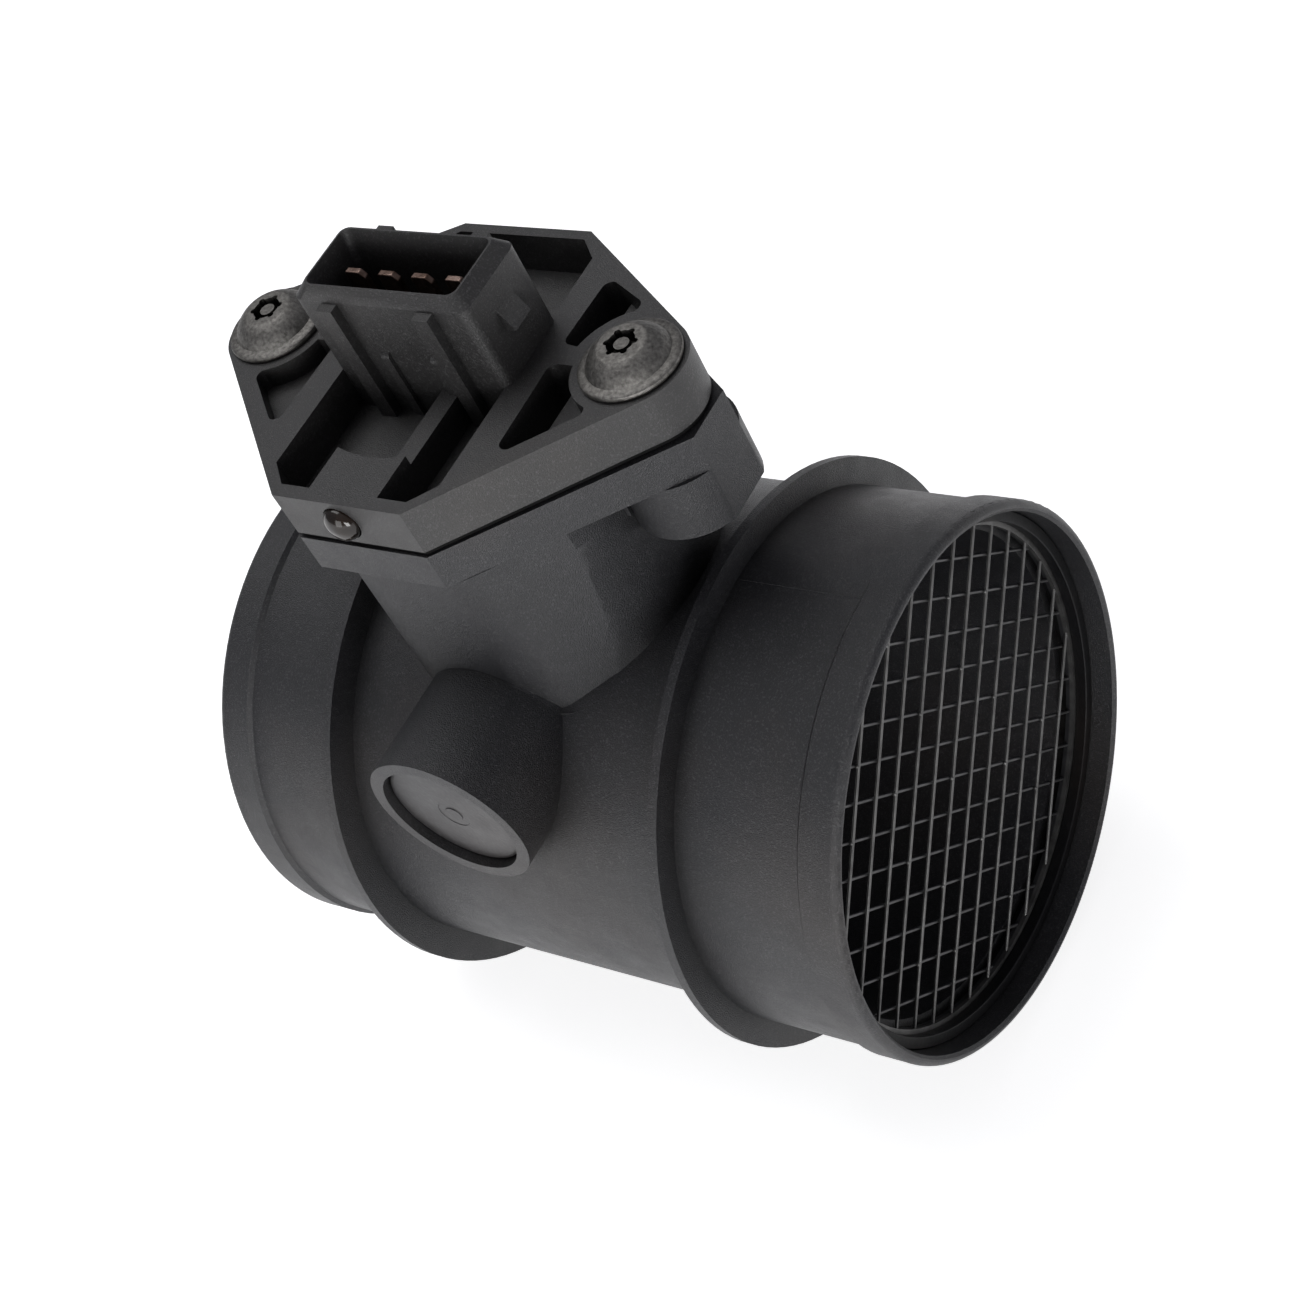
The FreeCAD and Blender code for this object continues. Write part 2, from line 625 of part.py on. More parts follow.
# Cover: plate with open recesses and the connector shroud, one moulding. Its
# origin is on the duct axis line at the middle of the housing, at its underside.
def cover_outline(sketch, shrink):
    """Straight front and back, slanted sides that run tangent to a round tip
    about each screw."""
    radius = (tip_radius - shrink).value
    half = front_half.value - shrink.value * 0.4
    edge = front_y.value - shrink.value
    centre = FreeCAD.Vector(screw_half.value, row_y.value, 0)

    def touch(corner, turn_sign):
        reach = centre - corner
        lean = math.asin(radius / reach.Length)
        length = math.sqrt(reach.Length ** 2 - radius ** 2)
        heading = math.atan2(reach.y, reach.x) + turn_sign * lean
        return corner + FreeCAD.Vector(math.cos(heading), math.sin(heading), 0) * length

    front = FreeCAD.Vector(half, -edge, 0)
    back = FreeCAD.Vector(half, edge, 0)
    front_touch = touch(front, -1)
    back_touch = touch(back, 1)
    flip = lambda point: FreeCAD.Vector(-point.x, point.y, 0)
    lines = []
    for first, last in ((flip(front), front), (front, front_touch), (back_touch, back),
                        (back, flip(back)), (flip(back), flip(back_touch)),
                        (flip(front_touch), flip(front))):
        lines.append(sketch.addGeometry(Part.LineSegment(first, last)))
    tip = centre + FreeCAD.Vector(radius, 0, 0)
    right = sketch.addGeometry(Part.Arc(front_touch, tip, back_touch))
    left = sketch.addGeometry(Part.Arc(flip(back_touch), flip(tip), flip(front_touch)))
    front_edge, slant_rf, slant_rb, back_edge, slant_lb, slant_lf = lines
    joins = [
        (front_edge, 2, slant_rf, 1), (slant_rb, 2, back_edge, 1),
        (back_edge, 2, slant_lb, 1), (slant_lf, 2, front_edge, 1)]
    for one, one_end, two, two_end in joins:
        sketch.addConstraint(Sketcher.Constraint("Coincident", one, one_end, two, two_end))
    for line, line_end, arc, arc_end in ((slant_rf, 2, right, 1), (slant_rb, 1, right, 2),
                                         (slant_lb, 2, left, 1), (slant_lf, 1, left, 2)):
        sketch.addConstraint(Sketcher.Constraint("Tangent", line, line_end, arc, arc_end))
    pin_point(sketch, front_edge, 1, -(front_half - shrink * 0.4), -(front_y - shrink))
    pin_point(sketch, front_edge, 2, front_half - shrink * 0.4, -(front_y - shrink))
    pin_point(sketch, back_edge, 1, front_half - shrink * 0.4, front_y - shrink)
    pin_point(sketch, back_edge, 2, -(front_half - shrink * 0.4), front_y - shrink)
    for arc, side in ((right, 1), (left, -1)):
        pin_point(sketch, arc, 3, side * screw_half, row_y)
        held = sketch.addConstraint(Sketcher.Constraint("Radius", arc, radius))
        bind(sketch, "Constraints[%d]" % held, tip_radius - shrink)


cover = new_body("connector_cover", housing_x, None, cover_bottom)
plate_sketch = new_sketch(cover, "cover_outline", "XY_Plane")
cover_outline(plate_sketch, as_size(0))
pad(cover, "cover_plate", plate_sketch, cover_thick)

middle = new_sketch(cover, "middle_recess", "XY_Plane", cover_thick)
draw_loop(middle, [
    (-recess_half + recess_corner, -recess_front),
    (recess_half - recess_corner, -recess_front),
    (recess_half, -recess_front + recess_corner),
    (recess_half, recess_back - recess_corner),
    (recess_half - recess_corner, recess_back),
    (-recess_half + recess_corner, recess_back),
    (-recess_half, recess_back - recess_corner),
    (-recess_half, -recess_front + recess_corner)])
pocket(cover, "recess", middle, cover_thick - recess_floor)

tongue = new_sketch(cover, "tongue_outline", "XY_Plane", recess_floor)
draw_loop(tongue, [
    (-tongue_half, -recess_front - 0.5),
    (tongue_half, -recess_front - 0.5),
    (tongue_half, -tongue_back, 0, -tongue_back - tongue_hollow),
    (-tongue_half, -tongue_back)])
pad(cover, "tongue", tongue, cover_thick - recess_floor)
bar = new_sketch(cover, "bar_outline", "XY_Plane", recess_floor)
draw_box(bar, bar_x - bar_width / 2, -tongue_back - tongue_hollow - 0.5,
         bar_x + bar_width / 2, row_y - shroud_half_y + 0.5)
pad(cover, "bar", bar, cover_thick - recess_floor)

pocket_x = recess_half + pocket_wall
arc_reach = screw_half - pocket_arc * math.cos(math.radians(38))
side_pocket = new_sketch(cover, "side_pockets", "XY_Plane", cover_thick)
low_web = row_y - pocket_web
high_web = row_y + pocket_web
arc_low_x = screw_half - root(pocket_arc * pocket_arc - pocket_web * pocket_web)
low_end_x = screw_half - root(pocket_arc * pocket_arc - pocket_end_drop * pocket_end_drop)
high_end_x = screw_half - root(
    (pocket_arc + 0.8) * (pocket_arc + 0.8) - pocket_end_rise * pocket_end_rise)
arc_mid_low = row_y - pocket_arc * math.sin(math.radians(38))
arc_mid_high = row_y + pocket_arc * math.sin(math.radians(38))
draw_loop(side_pocket, [
    (pocket_x, -pocket_front),
    (low_end_x, row_y - pocket_end_drop, arc_reach, arc_mid_low),
    (arc_low_x, low_web),
    (pocket_x, low_web)])
draw_loop(side_pocket, [
    (pocket_x, high_web),
    (arc_low_x, high_web, arc_reach, arc_mid_high),
    (high_end_x, row_y + pocket_end_rise),
    (pocket_x, pocket_back)])
right_pockets = pocket(cover, "right_pockets", side_pocket, cover_thick - recess_floor)
mirror(cover, "all_side_pockets", [right_pockets], False)

shroud = new_sketch(cover, "shroud_outline", "XY_Plane")
draw_rounded_box(shroud, shroud_half, shroud_half_y, shroud_corner, row_y)
pad(cover, "shroud", shroud, shroud_top)
ribs = new_sketch(cover, "rib_outlines", "XY_Plane")
for rib_x in (rib_left_x, rib_right_x):
    draw_box(ribs, rib_x - rib_width / 2, row_y - shroud_half_y - rib_proud,
             rib_x + rib_width / 2, row_y + shroud_half_y + rib_proud)
pad(cover, "upright_ribs", ribs, shroud_top - rib_below_rim)
keys = new_sketch(cover, "key_outlines", "XY_Plane")
for key_x in (key_left_x, key_right_x):
    draw_box(keys, key_x - key_width / 2, row_y - shroud_half_y - key_proud,
             key_x + key_width / 2, row_y - shroud_half_y + 0.5)
pad(cover, "low_ribs", keys, key_top)
nub = new_sketch(cover, "nub_profile", "XZ_Plane", -row_y)
draw_loop(nub, [
    (shroud_half - 0.5, nub_top - nub_height),
    (shroud_half + nub_proud, nub_top - nub_height),
    (shroud_half, nub_top),
    (shroud_half - 0.5, nub_top)])
pad(cover, "locking_nub", nub, nub_width, both=True)
socket = new_sketch(cover, "socket_outline", "XY_Plane", shroud_top)
draw_rounded_box(socket, shroud_half - socket_wall, shroud_half_y - socket_wall, socket_corner, row_y)
pocket(cover, "socket", socket, socket_depth)
slots = new_sketch(cover, "terminal_slots", "XY_Plane")
for step in (-1.5, -0.5, 0.5, 1.5):
    middle_x = terminal_pitch * step
    draw_box(slots, middle_x - blade_width / 2 - slot_clearance, row_y - blade_thick / 2 - slot_clearance,
             middle_x + blade_width / 2 + slot_clearance, row_y + blade_thick / 2 + slot_clearance)
pocket(cover, "terminal_slots_cut", slots, shroud_top - socket_depth + 0.5, flip=True)
holes = new_sketch(cover, "screw_holes", "XY_Plane")
for side in (-1, 1):
    draw_circle(holes, side * screw_half, row_y, screw_radius + screw_clearance)
pocket(cover, "screw_holes_cut", holes, cover_thick, flip=True)
bead_hole = new_sketch(cover, "bead_hole", "XZ_Plane", front_y)
draw_circle(bead_hole, bead_x, bead_height, bead_radius)
pocket(cover, "bead_hole_cut", bead_hole, bead_depth)

# Seal between the flange and the cover
gasket = new_body("cover_seal", housing_x, None, flange_top)
gasket_sketch = new_sketch(gasket, "seal_outline", "XY_Plane")
cover_outline(gasket_sketch, gasket_inset)
pad(gasket, "seal_plate", gasket_sketch, gasket_thick)
gasket_inner = new_sketch(gasket, "seal_opening", "XY_Plane")
draw_chamber(gasket_inner, 0)
for side in (-1, 1):
    draw_circle(gasket_inner, side * screw_half, row_y, screw_radius + screw_clearance)
pocket(gasket, "seal_openings", gasket_inner, gasket_thick, flip=True)

# Terminals: a flat blade with a chamfered tip and a foot bent onto the board
blade_top = cover_bottom + shroud_top - blade_below_rim
for number, step in enumerate((-1.5, -0.5, 0.5, 1.5), start=1):
    terminal = new_body("terminal_%d" % number, housing_x + terminal_pitch * step, row_y, board_top)
    blade_length = blade_top - board_top
    blade = new_sketch(terminal, "blade_outline_%d" % number, "XZ_Plane")
    draw_loop(blade, [
        (-blade_width / 2, 0), (blade_width / 2, 0),
        (blade_width / 2, blade_length - 1.4 * blade_tip),
        (blade_width / 2 - blade_tip, blade_length),
        (-blade_width / 2 + blade_tip / 3, blade_length),
        (-blade_width / 2, blade_length - blade_tip / 3)])
    pad(terminal, "blade_%d" % number, blade, blade_thick, both=True)
    foot = new_sketch(terminal, "foot_outline_%d" % number, "XY_Plane")
    draw_box(foot, -blade_width / 2, 0, blade_width / 2, foot_length)
    pad(terminal, "foot_%d" % number, foot, blade_thick)

# Tamper resistant screws and the threaded inserts that hold them
for label, side in (("left", -1), ("right", 1)):
    screw_x = housing_x + side * screw_half
    screw = new_body("security_screw_" + label, screw_x, row_y, cover_top)
    head = new_sketch(screw, "screw_profile_" + label, "XZ_Plane")
    draw_loop(head, [
        (0, -screw_length),
        (screw_radius - 0.6, -screw_length),
        (screw_radius, -screw_length + 0.6),
        (screw_radius, 0),
        (head_radius - 0.2, 0, head_radius, head_rim / 2),
        (head_radius - 0.2, head_rim),
        (dome_radius, head_rim, (dome_radius + dome_top) / 2 + 0.45, (head_rim + head_height) / 2 + 0.45),
        (dome_top, head_height),
        (0, head_height)])
    turn(screw, "screw_turned_" + label, head, "V_Axis")
    hub = new_sketch(screw, "socket_hub_" + label, "XY_Plane", head_height)
    draw_circle(hub, 0, 0, lobe_hub)
    draw_circle(hub, 0, 0, pin_radius)
    pocket(screw, "socket_hub_cut_" + label, hub, lobe_depth)
    lobe = new_sketch(screw, "lobe_" + label, "XY_Plane", head_height)
    draw_circle(lobe, lobe_circle, 0, lobe_radius)
    first_lobe = pocket(screw, "lobe_cut_" + label, lobe, lobe_depth)
    around(screw, "lobes_" + label, first_lobe, 6, False)
    pin_top = new_sketch(screw, "pin_top_" + label, "XY_Plane", head_height)
    draw_circle(pin_top, 0, 0, pin_radius + 0.2)
    pocket(screw, "pin_shortened_" + label, pin_top, pin_below)

    insert = new_body("threaded_insert_" + label, screw_x, row_y, flange_top - insert_length)
    insert_profile = new_sketch(insert, "insert_profile_" + label, "XZ_Plane")
    draw_loop(insert_profile, [
        (screw_radius + thread_gap, 0),
        (insert_radius, 0),
        (insert_radius, insert_length * 0.35),
        (insert_radius - insert_groove, insert_length * 0.42),
        (insert_radius - insert_groove, insert_length * 0.58),
        (insert_radius, insert_length * 0.65),
        (insert_radius, insert_length),
        (screw_radius + thread_gap, insert_length)])
    turn(insert, "insert_turned_" + label, insert_profile, "V_Axis")

# Glossy sealing bead in the cover's front wall
bead = new_body("sealing_bead", housing_x + bead_x, -front_y, cover_bottom + bead_height)
bead_edge = bead_radius - 0.02
dome = (bead_edge * bead_edge + bead_proud * bead_proud) / (bead_proud * 2)
bead_sketch = new_sketch(bead, "bead_profile", "YZ_Plane")
draw_loop(bead_sketch, [
    (0, 0), (bead_depth, 0), (bead_depth, bead_edge),
    (0, bead_edge, -bead_proud + dome * (1 - math.cos(0.5)), dome * math.sin(0.5)),
    (-bead_proud, 0)])
turn(bead, "bead_turned", bead_sketch, "H_Axis")


# Wire screens: a metal frame ring with two crossing layers of straight wires
def wire_screen(label, face_x, inward):
    """face_x is the front of the frame, and inward is +1 or -1 along X."""
    outer = seat_radius - seat_clearance
    inner = outer - frame_width
    middle_radius = inner + frame_width * 0.4
    outer_round = cylinder(label + "_outer", outer, frame_thick)
    inner_round = cylinder(label + "_inner", inner, frame_thick * 3)
    low_x = face_x if inward > 0 else face_x - frame_thick
    turned = FreeCAD.Rotation(FreeCAD.Vector(0, 1, 0), 90)
    put(outer_round, low_x, 0, 0, turned)
    put(inner_round, low_x - frame_thick, 0, 0, turned)
    ring = doc.addObject("Part::Cut", label + "_ring")
    ring.Base = outer_round
    ring.Tool = inner_round
    pieces = [ring]
    layer_step = wire_radius + wire_gap / 2
    mid_x = face_x + inward * (frame_thick / 2)
    for layer, lean in ((-1, 45), (1, -45)):
        for index in range(-wires_each_side, wires_each_side + 1):
            away = wire_pitch * index
            half = root(middle_radius * middle_radius - away * away)
            wire = cylinder("%s_wire_%s_%d" % (label, "ab"[layer > 0], index + wires_each_side),
                            wire_radius, half * 2)
            angle = math.radians(lean)
            along_y, along_z = math.cos(angle), math.sin(angle)
            start_y = away * -along_z - half * along_y
            start_z = away * along_y - half * along_z
            heading = FreeCAD.Rotation(FreeCAD.Vector(0, 0, 1), FreeCAD.Vector(0, along_y, along_z))
            pieces.append(put(wire, mid_x + layer * inward * layer_step, start_y, start_z, heading))
    made = doc.addObject("Part::MultiFuse", label)
    made.Shapes = pieces
    made.Label = label
    return made


inlet_screen = wire_screen("inlet_screen", duct_length - screen_depth, -1)
outlet_screen = wire_screen("outlet_screen", screen_depth, 1)


# Retaining rings that hold the screens against the seats. A backing ring fills
# the seat behind each frame.
def plain_ring(label, low_x, width, inner_radius):
    made = new_body(label, low_x, None, None)
    section = new_sketch(made, label + "_section", "XZ_Plane")
    outer = seat_radius - seat_clearance
    draw_loop(section, [
        (0, inner_radius), (width, inner_radius), (width, outer), (0, outer)])
    turn(made, label + "_turned", section, "H_Axis")
    return made


ring_inner = seat_radius - seat_clearance - ring_width
plain_ring("inlet_retaining_ring", duct_length - screen_depth, ring_thick, ring_inner)
plain_ring("outlet_retaining_ring", screen_depth - ring_thick, ring_thick, ring_inner)
plain_ring("inlet_spacer_ring", duct_length - seat_depth, seat_depth - frame_back, ring_inner)
plain_ring("outlet_spacer_ring", frame_back, seat_depth - frame_back, ring_inner)

# Adjuster: blanking plug, trimming potentiometer and its adjusting screw, each
# turned about the boss axis, which points along minus Y
plug_face = adjuster_end - plug_recess
plug = new_body("blanking_plug", housing_x, -plug_face, adjuster_z)
plug_sketch = new_sketch(plug, "plug_profile", "YZ_Plane")
draw_loop(plug_sketch, [
    (0, 0), (0, plug_radius - 0.3), (0.3, plug_radius),
    (plug_thick + plug_skirt, plug_radius),
    (plug_thick + plug_skirt, plug_radius - 1.2),
    (plug_thick, plug_radius - 1.2),
    (plug_thick, 0)])
turn(plug, "plug_turned", plug_sketch, "H_Axis")

trimmer_face = trimmer_floor + trimmer_length
trimmer = new_body("trimming_potentiometer", housing_x, -trimmer_face, adjuster_z)
trimmer_sketch = new_sketch(trimmer, "trimmer_profile", "YZ_Plane")
draw_loop(trimmer_sketch, [
    (rotor_stem, 0), (rotor_stem, rotor_radius * 0.6), (0, rotor_radius * 0.6),
    (0, trimmer_radius - 0.4), (0.4, trimmer_radius),
    (trimmer_length, trimmer_radius), (trimmer_length, 0)])
turn(trimmer, "trimmer_turned", trimmer_sketch, "H_Axis")

rotor = new_body("adjusting_screw", housing_x, -trimmer_face, adjuster_z)
rotor_sketch = new_sketch(rotor, "rotor_profile", "YZ_Plane")
draw_loop(rotor_sketch, [
    (-rotor_height, 0), (-rotor_height, rotor_radius - 0.2), (-rotor_height + 0.2, rotor_radius),
    (0, rotor_radius), (0, rotor_radius * 0.6 - thread_gap),
    (rotor_stem, rotor_radius * 0.6 - thread_gap), (rotor_stem, 0)])
turn(rotor, "rotor_turned", rotor_sketch, "H_Axis")
driver_slot = new_sketch(rotor, "driver_slot", "XZ_Plane", rotor_height)
draw_box(driver_slot, -rotor_radius, -slot_width / 2, rotor_radius, slot_width / 2)
pocket(rotor, "driver_slot_cut", driver_slot, slot_depth)

# Sensing module: the head and stem close the neck, and the strut carries the
# measuring tube on the duct axis. One moulding, which the board is fixed above.
module = new_body("sensor_carrier", housing_x)
head_sketch = new_sketch(module, "module_head", "XY_Plane", chamber_floor - head_thick)
draw_obround(head_sketch, stem_half + head_margin, stem_half_y + head_margin)
pad(module, "head", head_sketch, head_thick)
stem_sketch = new_sketch(module, "stem_outline", "XY_Plane", stem_bottom)
draw_obround(stem_sketch, stem_half, stem_half_y)
pad(module, "stem", stem_sketch, chamber_floor - head_thick - stem_bottom)
strut_sketch = new_sketch(module, "strut_outline", "XY_Plane")
draw_obround(strut_sketch, strut_half, strut_half_y)
pad(module, "strut", strut_sketch, stem_bottom)
tube_sketch = new_sketch(module, "tube_circle", "YZ_Plane")
draw_circle(tube_sketch, 0, 0, tube_radius)
pad(module, "measuring_tube", tube_sketch, tube_half * 2, both=True)
tube_hole = new_sketch(module, "tube_bore_circle", "YZ_Plane", -tube_half)
draw_circle(tube_hole, 0, 0, tube_bore)
pocket(module, "measuring_bore", tube_hole, tube_half * 2, flip=True)
film_top = tube_bore + film_hold
film_slot = new_sketch(module, "film_slot", "XY_Plane", film_top)
draw_box(film_slot, -film_width / 2 - slot_clearance, -film_thick / 2 - slot_clearance,
         film_width / 2 + slot_clearance, film_thick / 2 + slot_clearance)
pocket(module, "film_slot_cut", film_slot, film_hold + 1)
lead_top = tube_bore + film_hold
lead_hole = new_sketch(module, "lead_hole", "XY_Plane", lead_top)
draw_circle(lead_hole, bead_sensor_x, 0, lead_radius + slot_clearance)
pocket(module, "lead_hole_cut", lead_hole, film_hold + 1)

stem_seal = new_body("stem_seal", housing_x, None, head_seat)
seal_outer = new_sketch(stem_seal, "stem_seal_outline", "XY_Plane")
draw_obround(seal_outer, stem_half + head_margin - seat_clearance, stem_half_y + head_margin - seat_clearance)
draw_obround(seal_outer, stem_half + seat_clearance, stem_half_y + seat_clearance)
pad(stem_seal, "stem_seal_ring", seal_outer, stem_seal_thick)

film = new_body("hot_film_element", housing_x)
film_sketch = new_sketch(film, "film_outline", "XZ_Plane")
draw_loop(film_sketch, [
    (-film_width / 2, -film_drop), (film_width / 2, -film_drop),
    (film_width / 2, film_top), (-film_width / 2, film_top)])
pad(film, "film_plate", film_sketch, film_thick, both=True)

bead_sensor = new_body("air_temperature_sensor", housing_x + bead_sensor_x)
bead_profile = new_sketch(bead_sensor, "sensor_profile", "XZ_Plane")
draw_loop(bead_profile, [
    (0, -bead_sensor_radius, bead_sensor_radius, 0),
    (lead_radius, root(bead_sensor_radius * bead_sensor_radius - lead_radius * lead_radius)),
    (lead_radius, lead_top),
    (0, lead_top)])
turn(bead_sensor, "sensor_turned", bead_profile, "V_Axis")

heat_plate = new_body("heat_sink_plate", housing_x, None, chamber_floor)
heat_sketch = new_sketch(heat_plate, "plate_outline", "XY_Plane")
draw_chamber(heat_sketch, plate_clearance)
pad(heat_plate, "plate", heat_sketch, plate_thick)

board = new_body("circuit_board", housing_x, None, plate_top)
board_sketch = new_sketch(board, "board_outline", "XY_Plane")
draw_box(board_sketch, -board_half, -board_half_y, board_half, board_half_y)
pad(board, "board", board_sketch, board_thick)

# Check every object, then write one file for each piece
doc.recompute()
NODES = [
    "duct_housing", "connector_cover", "cover_seal", "terminal_1", "terminal_2", "terminal_3",
    "terminal_4", "security_screw_left", "security_screw_right", "threaded_insert_left",
    "threaded_insert_right", "sealing_bead", "inlet_screen", "outlet_screen",
    "inlet_retaining_ring", "outlet_retaining_ring", "inlet_spacer_ring", "outlet_spacer_ring",
    "blanking_plug", "trimming_potentiometer", "adjusting_screw", "sensor_carrier", "stem_seal",
    "hot_film_element", "air_temperature_sensor", "heat_sink_plate", "circuit_board"]
for thing in doc.Objects:
    if "Invalid" in thing.State or "Error" in thing.State:
        raise RuntimeError("%s did not compute: %s" % (thing.Name, thing.State))
for node in NODES:
    piece = doc.getObjectsByLabel(node)[0]
    if piece.Shape.isNull() or not piece.Shape.isValid() or not piece.Shape.Solids:
        raise RuntimeError("bad shape: " + node)
for node in NODES:
    piece = doc.getObjectsByLabel(node)[0]
    piece.Shape.exportStep("parts/%s.step" % node)
    print("%-26s solids %d volume %.1f" % (node, len(piece.Shape.Solids), piece.Shape.Volume))
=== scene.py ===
import math

import bpy
from mathutils import Matrix, Vector


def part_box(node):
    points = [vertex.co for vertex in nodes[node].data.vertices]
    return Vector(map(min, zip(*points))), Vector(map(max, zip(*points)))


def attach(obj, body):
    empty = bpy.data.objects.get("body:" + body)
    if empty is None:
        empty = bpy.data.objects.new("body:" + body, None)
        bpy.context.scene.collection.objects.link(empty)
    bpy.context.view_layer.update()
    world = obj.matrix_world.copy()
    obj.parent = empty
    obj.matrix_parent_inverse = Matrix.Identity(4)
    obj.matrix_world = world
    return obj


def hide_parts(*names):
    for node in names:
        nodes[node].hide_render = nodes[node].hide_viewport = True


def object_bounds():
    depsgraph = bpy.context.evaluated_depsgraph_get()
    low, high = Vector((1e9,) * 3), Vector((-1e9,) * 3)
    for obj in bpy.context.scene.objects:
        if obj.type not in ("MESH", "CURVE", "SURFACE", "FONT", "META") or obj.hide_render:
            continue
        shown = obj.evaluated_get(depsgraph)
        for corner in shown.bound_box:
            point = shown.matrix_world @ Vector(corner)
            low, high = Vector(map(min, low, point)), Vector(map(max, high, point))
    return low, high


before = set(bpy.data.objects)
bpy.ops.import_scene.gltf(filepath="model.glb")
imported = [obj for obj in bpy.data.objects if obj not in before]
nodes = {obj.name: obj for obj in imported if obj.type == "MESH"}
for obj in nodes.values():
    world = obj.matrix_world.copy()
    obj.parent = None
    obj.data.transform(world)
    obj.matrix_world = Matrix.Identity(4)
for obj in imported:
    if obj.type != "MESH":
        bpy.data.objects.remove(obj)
cad_low, cad_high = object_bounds()
MM = 0.001

# Camera
# It stands where the photograph was taken from, which the ellipses of the duct
# and the edges of the cover give. It is rolled a little, as in the photograph.
camera_place = (0.23586, -0.14665, 0.23834)
camera_right = (0.8062, 0.4589, -0.3733)
camera_up = (-0.1454, 0.7654, 0.6269)
camera_back = (0.5734, -0.4512, 0.6838)
FOCAL_PIXELS, PICTURE_PIXELS, SENSOR_WIDTH = 2557.7, 1300, 36
camera_data = bpy.data.cameras.new("camera")
camera_data.sensor_width = SENSOR_WIDTH
camera_data.lens = FOCAL_PIXELS / PICTURE_PIXELS * SENSOR_WIDTH
camera_data.clip_start = 0.01
camera = bpy.data.objects.new("camera", camera_data)
bpy.context.scene.collection.objects.link(camera)
turned = Matrix((camera_right, camera_up, camera_back)).transposed().to_quaternion()
camera.matrix_world = Matrix.Translation(camera_place) @ turned.to_matrix().to_4x4()
bpy.context.scene.camera = camera
bpy.context.scene.view_settings.view_transform = "Standard"


# Duct housing
# One injection moulding of black glass filled plastic: duct, lips, stop ribs,
# neck, flange, screw bosses and adjuster boss. Its skin has a fine eroded grain.
def deselect():
    if bpy.context.object and bpy.context.object.mode != "OBJECT":
        bpy.ops.object.mode_set(mode="OBJECT")
    bpy.ops.object.select_all(action="DESELECT")


def make_active(piece):
    deselect()
    piece.select_set(True)
    bpy.context.view_layer.objects.active = piece


def new_material(name):
    made = bpy.data.materials.new(name)
    made.use_nodes = True
    tree = made.node_tree
    place = tree.nodes.new("ShaderNodeTexCoord").outputs["Object"]
    return made, tree, tree.nodes["Principled BSDF"], place


def add_noise(tree, place, scale, detail=2.0, stretch=None):
    """Noise on Object coordinates, drawn out where stretch is given."""
    if stretch:
        mapping = tree.nodes.new("ShaderNodeMapping")
        mapping.inputs["Scale"].default_value = stretch
        tree.links.new(place, mapping.inputs["Vector"])
        place = mapping.outputs["Vector"]
    noise = tree.nodes.new("ShaderNodeTexNoise")
    noise.inputs["Scale"].default_value = scale
    noise.inputs["Detail"].default_value = detail
    tree.links.new(place, noise.inputs["Vector"])
    return noise.outputs["Fac"]


def add_ramp(tree, factor, stops):
    """A colour ramp whose stops are a grey level or a colour each."""
    ramp = tree.nodes.new("ShaderNodeValToRGB")
    tree.links.new(factor, ramp.inputs["Fac"])
    elements = ramp.color_ramp.elements
    while len(elements) < len(stops):
        elements.new(0.5)
    for element, (at, tone) in zip(elements, stops):
        element.position = at
        element.color = (*tone, 1) if isinstance(tone, tuple) else (tone, tone, tone, 1)
    return ramp.outputs["Color"]


def mix_colours(tree, kind, one, two):
    mix = tree.nodes.new("ShaderNodeMix")
    mix.data_type = "RGBA"
    mix.blend_type = kind
    mix.inputs[0].default_value = 1.0
    tree.links.new(one, mix.inputs[6])
    tree.links.new(two, mix.inputs[7])
    return mix.outputs[2]


def add_relief(tree, shader, height, distance, strength):
    bump = tree.nodes.new("ShaderNodeBump")
    bump.inputs["Distance"].default_value = distance
    bump.inputs["Strength"].default_value = strength
    tree.links.new(height, bump.inputs["Height"])
    tree.links.new(bump.outputs["Normal"], shader.inputs["Normal"])


def painted_hollow_shade(tree, reach, darkest_painted_shade):
    """Painted shade: the colour is darker in hollows, the deeper they are, as ambient occlusion
    finds them.
    """
    shade = tree.nodes.new("ShaderNodeAmbientOcclusion")
    shade.samples = 6
    shade.inputs["Distance"].default_value = reach
    return add_ramp(tree, shade.outputs["AO"], [(0.25, darkest_painted_shade), (0.85, 1.0)])


def moulded_plastic(name, dark, light, roughness, grain, relief, specks,
                    reach=0.008, darkest_painted_shade=0.25):
    """A cloudy tone, brown dust in patches, an eroded grain with pale specks, and painted shade
    in the hollows.
    """
    made, tree, shader, place = new_material(name)
    dust_brown = (0.011, 0.007, 0.004)
    cloud = add_ramp(tree, add_noise(tree, place, 60, 3), [(0.3, dark), (0.75, light)])
    speck = add_ramp(tree, add_noise(tree, place, grain * 0.6, 1), [(0.54, 0.0), (0.74, specks)])
    dust = add_ramp(tree, add_noise(tree, place, 28, 5), [(0.52, 0.0), (0.72, dust_brown)])
    colour = mix_colours(tree, "ADD", mix_colours(tree, "ADD", cloud, speck), dust)
    # Painted shade: the colour is darkened in hollows and recesses.
    colour = mix_colours(tree, "MULTIPLY", colour, painted_hollow_shade(tree, reach, darkest_painted_shade))
    tree.links.new(colour, shader.inputs["Base Color"])
    rough = add_ramp(tree, add_noise(tree, place, 260, 4),
                     [(0.25, roughness - 0.07), (0.8, roughness + 0.08)])
    tree.links.new(rough, shader.inputs["Roughness"])
    shader.inputs["Specular IOR Level"].default_value = 0.75
    add_relief(tree, shader, add_noise(tree, place, grain, 3), 0.0002, relief)
    return made


